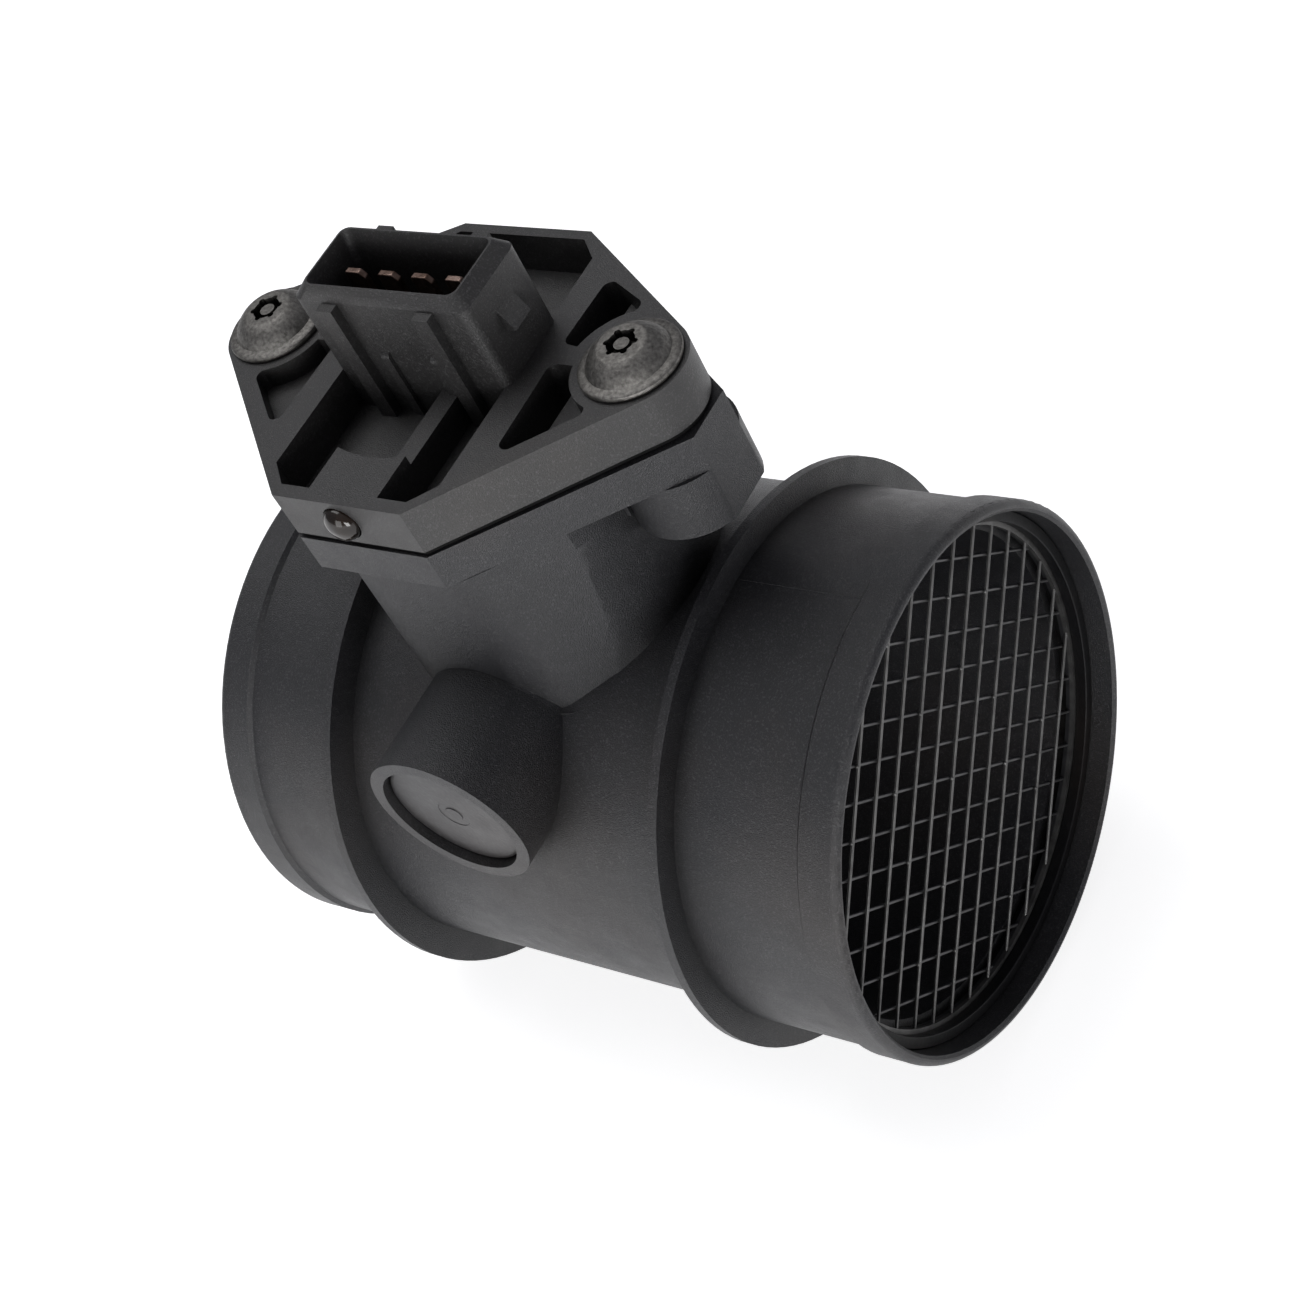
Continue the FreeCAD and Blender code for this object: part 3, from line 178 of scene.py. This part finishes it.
def soften(piece, width, segments=3, angle=34, blended=None):
    """Rounded edges, as a mould leaves them, with flat faces kept flat.

    The edges that blended picks out are shaded as one smooth surface.
    """
    bevel = piece.modifiers.new("edges", "BEVEL")
    bevel.width = width * MM
    bevel.segments = segments
    bevel.limit_method = "ANGLE"
    bevel.angle_limit = math.radians(angle)
    bevel.miter_outer = "MITER_ARC"
    weighted = piece.modifiers.new("normals", "WEIGHTED_NORMAL")
    weighted.keep_sharp = True
    make_active(piece)
    bpy.ops.object.shade_smooth_by_angle(angle=math.radians(35))
    if blended:
        select_where(piece, "EDGE", blended)
        bpy.ops.mesh.mark_sharp(clear=True)
        bpy.ops.object.mode_set(mode="OBJECT")
    for modifier in list(piece.modifiers):
        bpy.ops.object.modifier_apply(modifier=modifier.name)


def finish_piece(piece, name, material, slot_name, *stands_for):
    piece.name = name
    piece.data.name = name
    piece.data.materials.clear()
    piece.data.materials.append(material)
    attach(piece, "root")
    if stands_for:
        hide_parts(*stands_for)
    return piece


def copy_of(node):
    """The CAD solid's mesh as a new piece, its flat faces merged."""
    make_active(nodes[node])
    bpy.ops.object.duplicate()
    piece = bpy.context.active_object
    bpy.ops.object.mode_set(mode="EDIT")
    bpy.ops.mesh.select_all(action="SELECT")
    bpy.ops.mesh.remove_doubles(threshold=0.000002)
    bpy.ops.mesh.dissolve_limited(angle_limit=math.radians(0.4))
    bpy.ops.object.mode_set(mode="OBJECT")
    if piece.data.has_custom_normals:
        bpy.ops.mesh.customdata_custom_splitnormals_clear()
    return piece


def select_where(piece, kind, wanted):
    """Edit mode with only those faces or edges selected that are wanted."""
    make_active(piece)
    bpy.ops.object.mode_set(mode="EDIT")
    bpy.ops.mesh.select_mode(type=kind)
    bpy.ops.mesh.select_all(action="DESELECT")
    bpy.ops.object.mode_set(mode="OBJECT")
    mesh = piece.data
    if kind == "FACE":
        for face in mesh.polygons:
            face.select = wanted(face.center, face.normal)
    else:
        for edge in mesh.edges:
            ends = [mesh.vertices[i].co for i in edge.vertices]
            edge.select = wanted((ends[0] + ends[1]) / 2, (ends[1] - ends[0]).normalized())
    bpy.ops.object.mode_set(mode="EDIT")


# Lengths are in millimetres, and x counts from the middle of the neck.
COVER_X = 42.45
ALONG_X, ALONG_Y = (0, math.pi / 2, 0), (math.pi / 2, 0, 0)
BOSS_Z = 23.4


def cover_point(x, y, z):
    return Vector((COVER_X + x, y, z)) * MM


def block(x_low, y_low, z_low, x_high, y_high, z_high):
    deselect()
    middle = cover_point((x_low + x_high) / 2, (y_low + y_high) / 2, (z_low + z_high) / 2)
    bpy.ops.mesh.primitive_cube_add(size=1, location=middle)
    made = bpy.context.active_object
    made.scale = Vector((x_high - x_low, y_high - y_low, z_high - z_low)) * MM
    bpy.ops.object.transform_apply(location=True, rotation=True, scale=True)
    return made


def rod(middle, turn, length, radius, sides):
    deselect()
    bpy.ops.mesh.primitive_cylinder_add(vertices=sides, radius=radius * MM, depth=length * MM,
                                        location=middle, rotation=turn)
    made = bpy.context.active_object
    bpy.ops.object.transform_apply(location=True, rotation=True, scale=True)
    return made


def post(x, y, z_low, z_high, radius, sides=48):
    middle = cover_point(x, y, (z_low + z_high) / 2)
    return rod(middle, (0, 0, 0), z_high - z_low, radius, sides)


def wrap(parts):
    """One closed convex solid round all the parts."""
    deselect()
    for part in parts:
        part.select_set(True)
    bpy.context.view_layer.objects.active = parts[0]
    bpy.ops.object.join()
    bpy.ops.object.mode_set(mode="EDIT")
    bpy.ops.mesh.select_all(action="SELECT")
    bpy.ops.mesh.convex_hull()
    bpy.ops.mesh.dissolve_limited(angle_limit=math.radians(0.5))
    bpy.ops.object.mode_set(mode="OBJECT")
    return bpy.context.active_object


def combine(piece, tool, operation):
    """The piece joined with, cut by or cut down to the tool, which is used up."""
    change = piece.modifiers.new("shape", "BOOLEAN")
    change.operation = operation
    change.solver = "EXACT"
    change.object = tool
    make_active(piece)
    bpy.ops.object.modifier_apply(modifier=change.name)
    bpy.data.objects.remove(tool)


housing_black = moulded_plastic("housing_black", (0.007, 0.007, 0.009), (0.013, 0.013, 0.016),
                                0.42, 6500, 0.6, 0.04)
housing = copy_of("duct_housing")
# Under the flange the neck stands back a little, with widely rounded corners.
# What is cut off there is a collar that leaves the duct and the boss whole.
NECK_POSTS = ((4.5, 7.8, 55.0, 56.0, 12), (5.3, 7.3, 26.0, 27.0, 12),
              (25.4, 5.8, 55.0, 56.0, 1), (25.4, 5.4, 26.0, 27.0, 1))
COLLAR_X, FLANGE_LOW = 19.5, 55.08
for side in (-1, 1):
    low_y, high_y = sorted((side * 24, side * 8))
    collar = block(-COLLAR_X, low_y, 28, COLLAR_X, high_y, FLANGE_LOW)
    rounded_neck = wrap([post(end * x, side * y, z_low, z_high, radius, 96)
                         for x, y, z_low, z_high, radius in NECK_POSTS for end in (-1, 1)])
    combine(collar, rounded_neck, "DIFFERENCE")
    combine(collar, rod(cover_point(0, 0, 0), ALONG_X, 60, 33.51, 128), "DIFFERENCE")
    combine(collar, rod(cover_point(0, 0, BOSS_Z), ALONG_Y, 90, 11.01, 128), "DIFFERENCE")
    combine(housing, collar, "DIFFERENCE")


def at_neck_corner(middle, way):
    return (0.029 < middle.z < 0.0549 and abs(middle.y) > 0.008 and abs(way.z) > 0.5
            and 0.003 < abs(middle.x - COVER_X * MM) < 0.0205)


# The neck turns softly at its slanted corners, so no sharp edge stays there.
soften(housing, 0.3, 3, 52, at_neck_corner)
finish_piece(housing, "duct_moulding", housing_black, "housing_plastic", "duct_housing")

# Parting lines of the duct
# The halves of the mould meet in the plane through the duct's axis and leave a
# fine raised line along the top of each spigot.
SPIGOT_TOP = 34.28
for name, start, end in (("parting_line_inlet", 70.9, 88.0), ("parting_line_outlet", 2.4, 17.8)):
    line = rod(((start + end) / 2 * MM, 0, SPIGOT_TOP * MM), ALONG_X, end - start, 0.08, 12)
    bpy.ops.object.shade_smooth_by_angle(angle=math.radians(60))
    finish_piece(line, name, housing_black, "housing_plastic")

# Connector cover
# One smoother moulding of the same plastic: a plate with open recesses that
# keep its walls thin, a tongue, a bar, and the shroud round the terminals. Two
# screws hold it.
ROW_Y, SCREW_X, TERMINAL_PITCH = 2.8, 26.7, 5
COVER_LOW, WELL_FLOOR, COVER_TOP = 61.0, 61.7, 67.4


def round_uprights(piece, width, segments):
    select_where(piece, "EDGE", lambda middle, way: abs(way.z) > 0.99)
    bpy.ops.mesh.bevel(offset=width * MM, segments=segments, affect="EDGES")
    bpy.ops.object.mode_set(mode="OBJECT")


def raise_face(height, scale_x, scale_y, middle):
    """The selected face is drawn on by height and then resized about middle."""
    bpy.ops.mesh.extrude_region_move(TRANSFORM_OT_translate={"value": (0, 0, height * MM)})
    bpy.ops.transform.resize(value=(scale_x, scale_y, 1), center_override=middle)


cover_black = moulded_plastic("cover_black", (0.019, 0.018, 0.018), (0.028, 0.027, 0.027),
                              0.43, 6500, 0.4, 0.045, 0.009, 0.4)
plate = wrap([post(-SCREW_X, ROW_Y, COVER_LOW, COVER_TOP, 6.9, 72),
              post(SCREW_X, ROW_Y, COVER_LOW, COVER_TOP, 6.9, 72),
              block(-9.6, -22.3, COVER_LOW, 9.6, 22.3, COVER_TOP)])
well = block(-12.3, -20.5, WELL_FLOOR, 12.3, 20.9, COVER_TOP + 2)
round_uprights(well, 2.9, 1)
combine(plate, well, "DIFFERENCE")
tongue = block(-5.1, -21.0, 61.5, 5.1, -14.0, COVER_TOP)
combine(tongue, post(0, 1.66, 61.0, COVER_TOP + 2, 16.66, 160), "DIFFERENCE")
combine(plate, tongue, "UNION")
combine(plate, block(2.3, -16.0, 61.5, 4.95, 0.0, COVER_TOP - 1.5), "UNION")
SHELF_CORNERS = ((7.2, -20.6), (9.9, -20.6), (12.5, -17.9), (12.5, -15.4))
shelf = wrap([post(x, y, 61.5, COVER_TOP - 2.2, 0.1, 8) for x, y in SHELF_CORNERS])
combine(plate, shelf, "UNION")
# A side pocket has a deep strip beside the well and a shelf outside it.
POCKETS = ((((17.5, -10.4), (23.4, -5.0), (17.3, 0.4), (19.8, 0.4)), 7.5),
           (((17.1, 5.6), (17.4, 13.5), (21.9, 11.2), (19.8, 5.2)), 8.6))
for side in (-1, 1):
    for corners, reach in POCKETS:
        for floor_z, deep in ((64.6, False), (WELL_FLOOR, True)):
            hole = wrap([post(side * x, y, floor_z, COVER_TOP + 2, 1.1, 32) for x, y in corners])
            screw_wall = post(side * SCREW_X, ROW_Y, 60.0, COVER_TOP + 3, reach, 72)
            combine(hole, screw_wall, "DIFFERENCE")
            if deep:
                ends = sorted((side * 14.0, side * 18.9))
                combine(hole, block(ends[0], -20, 60.0, ends[1], 20, COVER_TOP + 3), "INTERSECT")
            combine(plate, hole, "DIFFERENCE")

# Height, half length and half width of each step of the shroud: up its slanted
# rim, over the edge, and down the narrowing mouth into the cavity.
SHROUD_STEPS = ((79.0, 12.9, 5.75), (80.5, 11.35, 4.75), (80.5, 11.1, 4.5),
                (77.2, 9.95, 3.05), (69.8, 9.90025, 3.03475))
top, half_length, half_width = SHROUD_STEPS[0]
shroud = block(-half_length, ROW_Y - half_width, 61.2, half_length, ROW_Y + half_width, top)
round_uprights(shroud, 1.4, 5)
select_where(shroud, "FACE", lambda middle, normal: normal.z > 0.9)
for below, above in zip(SHROUD_STEPS, SHROUD_STEPS[1:]):
    raise_face(above[0] - below[0], above[1] / below[1], above[2] / below[2],
               cover_point(0, ROW_Y, 0))
bpy.ops.object.mode_set(mode="OBJECT")
for rib_x in (-7.3, 7.0):
    for low_y, high_y in ((ROW_Y - 7.05, ROW_Y - 5.2), (ROW_Y + 5.2, ROW_Y + 7.05)):
        combine(shroud, block(rib_x - 1.15, low_y, 61.3, rib_x + 1.15, high_y, 78.75), "UNION")
for key_x in (-3.0, 4.4):
    key = block(key_x - 0.6, ROW_Y - 6.3, 61.4, key_x + 0.6, ROW_Y - 5.0, 71.6)
    select_where(key, "EDGE", lambda middle, way: abs(way.x) > 0.99 and middle.z > 0.07
                 and middle.y < -0.003)
    bpy.ops.mesh.bevel(offset=0.75 * MM, segments=4, affect="EDGES")
    bpy.ops.object.mode_set(mode="OBJECT")
    combine(shroud, key, "UNION")
nub = block(12.4, ROW_Y - 1.7, 72.7, 14.3, ROW_Y + 1.7, 75.6)
select_where(nub, "EDGE", lambda middle, way: abs(way.y) > 0.99 and middle.z > 0.0755
             and middle.x > (COVER_X + 14) * MM)
bpy.ops.transform.translate(value=(-1.4 * MM, 0, 0))
bpy.ops.object.mode_set(mode="OBJECT")
combine(shroud, nub, "UNION")
combine(plate, shroud, "UNION")
for side in (-1, 1):
    combine(plate, post(side * SCREW_X, ROW_Y, 60.0, COVER_TOP + 2, 2.8, 32), "DIFFERENCE")
for step in (-1.5, -0.5, 0.5, 1.5):
    slot_x = TERMINAL_PITCH * step
    combine(plate, block(slot_x - 1.45, ROW_Y - 0.45, 60.0, slot_x + 1.45, ROW_Y + 0.45, 71.0),
            "DIFFERENCE")
bead_mid = cover_point(-0.8, -22.3, 64.1)
combine(plate, rod(bead_mid, ALONG_Y, 2, 2.47, 48), "DIFFERENCE")
soften(plate, 0.28, 2)
finish_piece(plate, "cover_moulding", cover_black, "cover_plastic", "connector_cover")

# Cover seal
# A flat rubber ring lies between the flange and the cover, and shows as a dull
# black line. The carrier's stem has a seal of the same rubber.
def coat(material, *names):
    for name in names:
        nodes[name].data.materials.clear()
        nodes[name].data.materials.append(material)


seal_black, tree, shader, place = new_material("seal_black")
tone = add_ramp(tree, add_noise(tree, place, 500, 3), [(0.3, 0.003), (0.7, 0.007)])
tree.links.new(tone, shader.inputs["Base Color"])
shader.inputs["Roughness"].default_value = 0.75
shader.inputs["Specular IOR Level"].default_value = 0.2
coat(seal_black, "cover_seal", "stem_seal")


# Terminals
# Four flat blades stamped from tin bronze strip. Their sheared tips are bright
# and the faces have dulled.
def worn_metal(name, dark, light, roughness, scale, relief, stretch=None, darkest_painted_shade=0.3):
    """Stained and worn metal, rougher in patches, with painted shade darkening its hollows."""
    made, tree, shader, place = new_material(name)
    tone = add_ramp(tree, add_noise(tree, place, scale, 5, stretch), [(0.3, dark), (0.7, light)])
    # Painted shade: the colour is darkened in hollows.
    tone = mix_colours(tree, "MULTIPLY", tone, painted_hollow_shade(tree, 0.003, darkest_painted_shade))
    tree.links.new(tone, shader.inputs["Base Color"])
    shader.inputs["Metallic"].default_value = 1.0
    rough = add_ramp(tree, add_noise(tree, place, scale * 2.3, 3),
                     [(0.3, roughness - 0.08), (0.7, roughness + 0.12)])
    tree.links.new(rough, shader.inputs["Roughness"])
    add_relief(tree, shader, add_noise(tree, place, scale * 3, 3, stretch), 0.0001, relief)
    return made


bronze_blade = worn_metal("bronze_blade", (0.14, 0.09, 0.07), (0.36, 0.26, 0.22),
                          0.35, 900, 0.1)
for number in range(1, 5):
    blade = copy_of("terminal_%d" % number)
    soften(blade, 0.12, 2)
    finish_piece(blade, "terminal_blade_%d" % number, bronze_blade, "terminal_bronze",
                 "terminal_%d" % number)

# Screws
# Two steel screws with a flanged dome and a six lobed socket with a pin, so a
# plain driver doesn't fit. The plating is dull and a little stained.
# The painted shade in the hollows darkens the socket.
dull_steel = worn_metal("dull_steel", (0.12, 0.116, 0.108), (0.28, 0.27, 0.255),
                        0.5, 2200, 0.4, darkest_painted_shade=0.25)
# Height above the cover and radius of each step of the head, from its foot up.
HEAD_FOOT, SOCKET_FLOOR, SOCKET_RADIUS = 6.1, COVER_TOP + 1.55, 1.75
HEAD_STEPS = ((0.15, 6.24), (0.45, 6.3), (0.7, 6.22), (0.9, 5.95), (0.92, 5.45), (1.0, 5.15),
              (1.3, 4.98), (1.75, 4.72), (2.25, 4.3), (2.7, 3.75), (3.05, 3.2), (3.25, 2.75))
head_mid = cover_point(SCREW_X, ROW_Y, COVER_TOP)
deselect()
bpy.ops.mesh.primitive_circle_add(vertices=72, radius=HEAD_FOOT * MM, fill_type="NGON",
                                  location=head_mid)
screw = bpy.context.active_object
bpy.ops.object.transform_apply(location=True, rotation=True, scale=True)
bpy.ops.object.mode_set(mode="EDIT")
bpy.ops.mesh.select_all(action="SELECT")
height, radius = 0.0, HEAD_FOOT
for level, wide in HEAD_STEPS:
    raise_face(level - height, wide / radius, wide / radius, head_mid)
    height, radius = level, wide
bpy.ops.object.mode_set(mode="OBJECT")
select_where(screw, "EDGE", lambda middle, way: middle.z < (COVER_TOP + 0.01) * MM)
bpy.ops.mesh.edge_face_add()
bpy.ops.mesh.select_all(action="SELECT")
bpy.ops.mesh.normals_make_consistent(inside=False)
bpy.ops.object.mode_set(mode="OBJECT")
combine(screw, post(SCREW_X, ROW_Y, SOCKET_FLOOR, COVER_TOP + 4, SOCKET_RADIUS, 36), "DIFFERENCE")
for turn in range(6):
    angle = math.radians(60 * turn + 12)
    lobe_x = SCREW_X + SOCKET_RADIUS * math.cos(angle)
    lobe_y = ROW_Y + SOCKET_RADIUS * math.sin(angle)
    combine(screw, post(lobe_x, lobe_y, SOCKET_FLOOR, COVER_TOP + 4, 0.4, 20), "DIFFERENCE")
combine(screw, post(SCREW_X, ROW_Y, COVER_TOP + 1.0, COVER_TOP + 3.0, 0.95, 36), "UNION")
combine(screw, post(SCREW_X, ROW_Y, COVER_TOP - 14.7, COVER_TOP + 0.3, 2.5, 48), "UNION")
soften(screw, 0.1, 2, 40)
make_active(screw)
bpy.ops.object.duplicate()
other_screw = bpy.context.active_object
bpy.ops.transform.rotate(value=math.radians(47), orient_axis="Z", center_override=head_mid)
bpy.ops.transform.translate(value=(-2 * SCREW_X * MM, 0, 0))
bpy.ops.object.transform_apply(location=True, rotation=True, scale=True)
finish_piece(screw, "flanged_screw_right", dull_steel, "screw_steel", "security_screw_right")
finish_piece(other_screw, "flanged_screw_left", dull_steel, "screw_steel", "security_screw_left")

# Threaded inserts
# Turned brass sleeves, pressed into the flange, which the screws bite in. The
# adjusting screw behind the plug is turned from the same brass.
brass = worn_metal("turned_brass", (0.42, 0.30, 0.12), (0.62, 0.46, 0.20), 0.3, 600, 0.1)
coat(brass, "threaded_insert_left", "threaded_insert_right", "adjusting_screw")

# Sealing bead
# A drop of dark brown sealing resin closes a hole in the cover's front wall. It
# bulges forward, a little uneven, with a wet shine.
resin_gloss, tree, shader, place = new_material("resin_gloss")
tone = add_ramp(tree, add_noise(tree, place, 250, 3),
                [(0.3, (0.008, 0.007, 0.006)), (0.75, (0.035, 0.018, 0.009))])
tree.links.new(tone, shader.inputs["Base Color"])
shader.inputs["Roughness"].default_value = 0.09
shader.inputs["Specular IOR Level"].default_value = 0.65
deselect()
bpy.ops.mesh.primitive_uv_sphere_add(segments=56, ring_count=28, radius=2.44 * MM,
                                     location=bead_mid, rotation=ALONG_Y)
drop = bpy.context.active_object
bpy.ops.object.transform_apply(location=True, rotation=True, scale=True)
bpy.ops.object.mode_set(mode="EDIT")
bpy.ops.mesh.select_all(action="SELECT")
bpy.ops.transform.resize(value=(1, 0.62, 1), center_override=bead_mid)
bpy.ops.mesh.bisect(plane_co=bead_mid + Vector((0, 0.9 * MM, 0)), plane_no=(0, 1, 0),
                    use_fill=True, clear_outer=True)
bpy.ops.object.mode_set(mode="OBJECT")
ripple = bpy.data.textures.new("resin_ripple", "CLOUDS")
ripple.noise_scale = 0.0035
swell = drop.modifiers.new("ripple", "DISPLACE")
swell.texture = ripple
swell.strength = 0.00035
swell.texture_coords = "LOCAL"
make_active(drop)
bpy.ops.object.modifier_apply(modifier="ripple")
bpy.ops.object.shade_smooth_by_angle(angle=math.radians(50))
finish_piece(drop, "resin_drop", resin_gloss, "bead_resin", "sealing_bead")
coat(resin_gloss, "air_temperature_sensor")

# Screens
# Straight steel wires in two crossing layers, welded to a thin frame ring. The
# back layer is painted darker, as painted shade. Some crossings show a weld.
screen_steel, tree, shader, place = new_material("screen_steel")
split = tree.nodes.new("ShaderNodeSeparateXYZ")
tree.links.new(place, split.inputs["Vector"])
screen_low, screen_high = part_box("inlet_screen")
screen_x = (screen_low.x + screen_high.x) / 2
depth = tree.nodes.new("ShaderNodeMapRange")
depth.inputs["From Min"].default_value = screen_x - 0.1 * MM
depth.inputs["From Max"].default_value = screen_x + 0.1 * MM
tree.links.new(split.outputs["X"], depth.inputs["Value"])
# Painted shade: the wires behind the front layer are coloured darker by their depth.
layer_painted_shade = add_ramp(tree, depth.outputs["Result"],
                 [(0.0, (0.075, 0.075, 0.08)), (1.0, (0.17, 0.168, 0.165))])
stain = add_ramp(tree, add_noise(tree, place, 500, 4), [(0.3, 0.6), (0.6, 1.0)])
tree.links.new(mix_colours(tree, "MULTIPLY", layer_painted_shade, stain), shader.inputs["Base Color"])
shader.inputs["Metallic"].default_value = 0.8
shader.inputs["Roughness"].default_value = 0.45
coat(screen_steel, "inlet_screen", "outlet_screen")
# The wires cross on a grid that is turned by 45 degrees, so half its diagonal
# is the step in y and z from one crossing to the next.
HALF_DIAGONAL = 3.2244 * MM
WELDS = ((0, 0), (3, 0), (-3, 0), (0, 3), (0, -3), (2, 2), (-2, -2), (-2, 2), (2, -2),
         (5, 1), (-5, -1), (1, 5), (-1, -5), (-5, 1), (5, -1), (-1, 5), (1, -5), (4, -4), (-4, 4))
welds = []
for across, along in WELDS:
    deselect()
    bpy.ops.mesh.primitive_uv_sphere_add(
        segments=12, ring_count=8, radius=0.36 * MM,
        location=(screen_x + 0.1 * MM, (across + along) * HALF_DIAGONAL,
                  (along - across) * HALF_DIAGONAL))
    welds.append(bpy.context.active_object)
deselect()
for weld in welds:
    weld.select_set(True)
bpy.context.view_layer.objects.active = welds[0]
bpy.ops.object.join()
bpy.ops.object.transform_apply(location=True, rotation=True, scale=True)
bpy.ops.object.shade_smooth()
finish_piece(bpy.context.active_object, "screen_welds", screen_steel, "screen_wire")

# Rings at the screens
# Plastic snap rings hold the screens, and spacer rings fill the seats behind.
# All four are moulded from a dull black plastic.
ring_black = moulded_plastic("ring_black", (0.003, 0.003, 0.004), (0.006, 0.006, 0.007),
                             0.5, 1500, 0.15, 0.003)
ring_black.node_tree.nodes["Principled BSDF"].inputs["Specular IOR Level"].default_value = 0.25
snap_ring = copy_of("inlet_retaining_ring")
soften(snap_ring, 0.12, 2)
finish_piece(snap_ring, "inlet_snap_ring", ring_black, "ring_plastic", "inlet_retaining_ring")
coat(ring_black, "inlet_spacer_ring", "outlet_spacer_ring", "outlet_retaining_ring")

# Blanking plug
# A grey black plug pressed into the adjuster boss after calibration. Its face
# lies a little below the boss, with a rounded edge and a gate mark.
plug_grey = moulded_plastic("plug_grey", (0.017, 0.017, 0.019), (0.030, 0.029, 0.032),
                            0.40, 2200, 0.2, 0.02)
plug = rod(cover_point(0, -32.55, BOSS_Z), ALONG_Y, 1.2, 8.95, 96)
select_where(plug, "FACE", lambda middle, normal: normal.y < -0.9)
bpy.ops.mesh.inset(thickness=0.55 * MM)
bpy.ops.transform.translate(value=(0, -0.15 * MM, 0))
bpy.ops.mesh.inset(thickness=6.2 * MM)
bpy.ops.mesh.extrude_region_move(TRANSFORM_OT_translate={"value": (0, 0.08 * MM, 0)})
bpy.ops.mesh.inset(thickness=1.0 * MM)
bpy.ops.mesh.extrude_region_move(TRANSFORM_OT_translate={"value": (0, -0.12 * MM, 0)})
bpy.ops.object.mode_set(mode="OBJECT")
soften(plug, 0.1, 2, 20)
finish_piece(plug, "plug_moulding", plug_grey, "plug_plastic", "blanking_plug")

# Parts inside
# The carrier with its measuring tube stands on the duct's axis. The board, its
# aluminium plate and the trimming potentiometer are closed in.
inner_black = moulded_plastic("inner_black", (0.006, 0.006, 0.007), (0.011, 0.011, 0.012),
                              0.5, 2000, 0.2, 0.01)
coat(inner_black, "sensor_carrier", "trimming_potentiometer")
plate_metal = worn_metal("plate_metal", (0.55, 0.55, 0.57), (0.75, 0.75, 0.77),
                         0.35, 500, 0.1, stretch=(1, 12, 1))
coat(plate_metal, "heat_sink_plate")
for node, dark, light in (("hot_film_element", (0.62, 0.61, 0.57), (0.75, 0.74, 0.70)),
                          ("circuit_board", (0.18, 0.26, 0.20), (0.26, 0.34, 0.26))):
    fired, tree, shader, place = new_material(node + "_ceramic")
    tone = add_ramp(tree, add_noise(tree, place, 400, 4), [(0.3, dark), (0.7, light)])
    tree.links.new(tone, shader.inputs["Base Color"])
    shader.inputs["Roughness"].default_value = 0.4
    coat(fired, node)

# Floor and surroundings
# A plain white floor under the ribs. The surroundings are white to the camera,
# bright near the floor and dim overhead for the object.
deselect()
bpy.ops.mesh.primitive_plane_add(size=8, location=(0, 0, cad_low.z - 0.1 * MM))
floor = bpy.context.active_object
floor.name = "floor"
floor_paint, tree, shader, place = new_material("floor_paint")
tone = add_ramp(tree, add_noise(tree, place, 3, 2), [(0.2, 0.93), (0.8, 0.95)])
tree.links.new(tone, shader.inputs["Base Color"])
shader.inputs["Roughness"].default_value = 0.8
shader.inputs["Specular IOR Level"].default_value = 0.1
path = tree.nodes.new("ShaderNodeLightPath")
strength = tree.nodes.new("ShaderNodeMapRange")
strength.inputs["To Min"].default_value = 0.74
strength.inputs["To Max"].default_value = 0.5
tree.links.new(path.outputs["Is Glossy Ray"], strength.inputs["Value"])
glow = tree.nodes.new("ShaderNodeEmission")
tree.links.new(strength.outputs["Result"], glow.inputs["Strength"])
both = tree.nodes.new("ShaderNodeAddShader")
tree.links.new(shader.outputs["BSDF"], both.inputs[0])
tree.links.new(glow.outputs["Emission"], both.inputs[1])
seen_or_mirrored = tree.nodes.new("ShaderNodeMath")
seen_or_mirrored.operation = "MAXIMUM"
tree.links.new(path.outputs["Is Camera Ray"], seen_or_mirrored.inputs[0])
tree.links.new(path.outputs["Is Glossy Ray"], seen_or_mirrored.inputs[1])
choice = tree.nodes.new("ShaderNodeMixShader")
tree.links.new(seen_or_mirrored.outputs["Value"], choice.inputs[0])
tree.links.new(shader.outputs["BSDF"], choice.inputs[1])
tree.links.new(both.outputs["Shader"], choice.inputs[2])
tree.links.new(choice.outputs["Shader"], tree.nodes["Material Output"].inputs["Surface"])
floor.data.materials.append(floor_paint)

world = bpy.data.worlds.new("studio")
bpy.context.scene.world = world
world.use_nodes = True
tree = world.node_tree
around = tree.nodes["Background"]
heading = tree.nodes.new("ShaderNodeTexCoord")
axis = tree.nodes.new("ShaderNodeSeparateXYZ")
tree.links.new(heading.outputs["Generated"], axis.inputs["Vector"])
sky = add_ramp(tree, axis.outputs["Z"], [(0.0, (0.26, 0.265, 0.29)), (0.15, (0.13, 0.133, 0.145)),
                                         (0.5, (0.17, 0.17, 0.185)), (1.0, (0.24, 0.24, 0.26))])
tree.links.new(sky, around.inputs["Color"])
around.inputs["Strength"].default_value = 1.0
seen = tree.nodes.new("ShaderNodeBackground")
seen.inputs["Color"].default_value = (1, 1, 1, 1)
path = tree.nodes.new("ShaderNodeLightPath")
choice = tree.nodes.new("ShaderNodeMixShader")
tree.links.new(path.outputs["Is Camera Ray"], choice.inputs[0])
tree.links.new(around.outputs["Background"], choice.inputs[1])
tree.links.new(seen.outputs["Background"], choice.inputs[2])
tree.links.new(choice.outputs["Shader"], tree.nodes["World Output"].inputs["Surface"])


# Lights
# A broad softbox overhead, a low one at the front left that shows as the bright
# band along the duct, and another at the front right for the neck.
def softbox(name, spot, aim, side, power):
    lamp = bpy.data.lights.new(name, "AREA")
    lamp.size = side
    lamp.energy = power
    holder = bpy.data.objects.new(name, lamp)
    bpy.context.scene.collection.objects.link(holder)
    holder.location = spot
    holder.rotation_euler = (Vector(spot) - aim).to_track_quat("Z", "Y").to_euler()
    return holder


middle = (cad_low + cad_high) / 2
softbox("overhead", (-0.35, 0.15, 1.1), middle, 0.9, 5)
softbox("front", (-0.12, -0.9, 0.12), middle, 0.5, 1.6)
softbox("side", (0.6, -0.85, 0.05), middle, 0.5, 6)
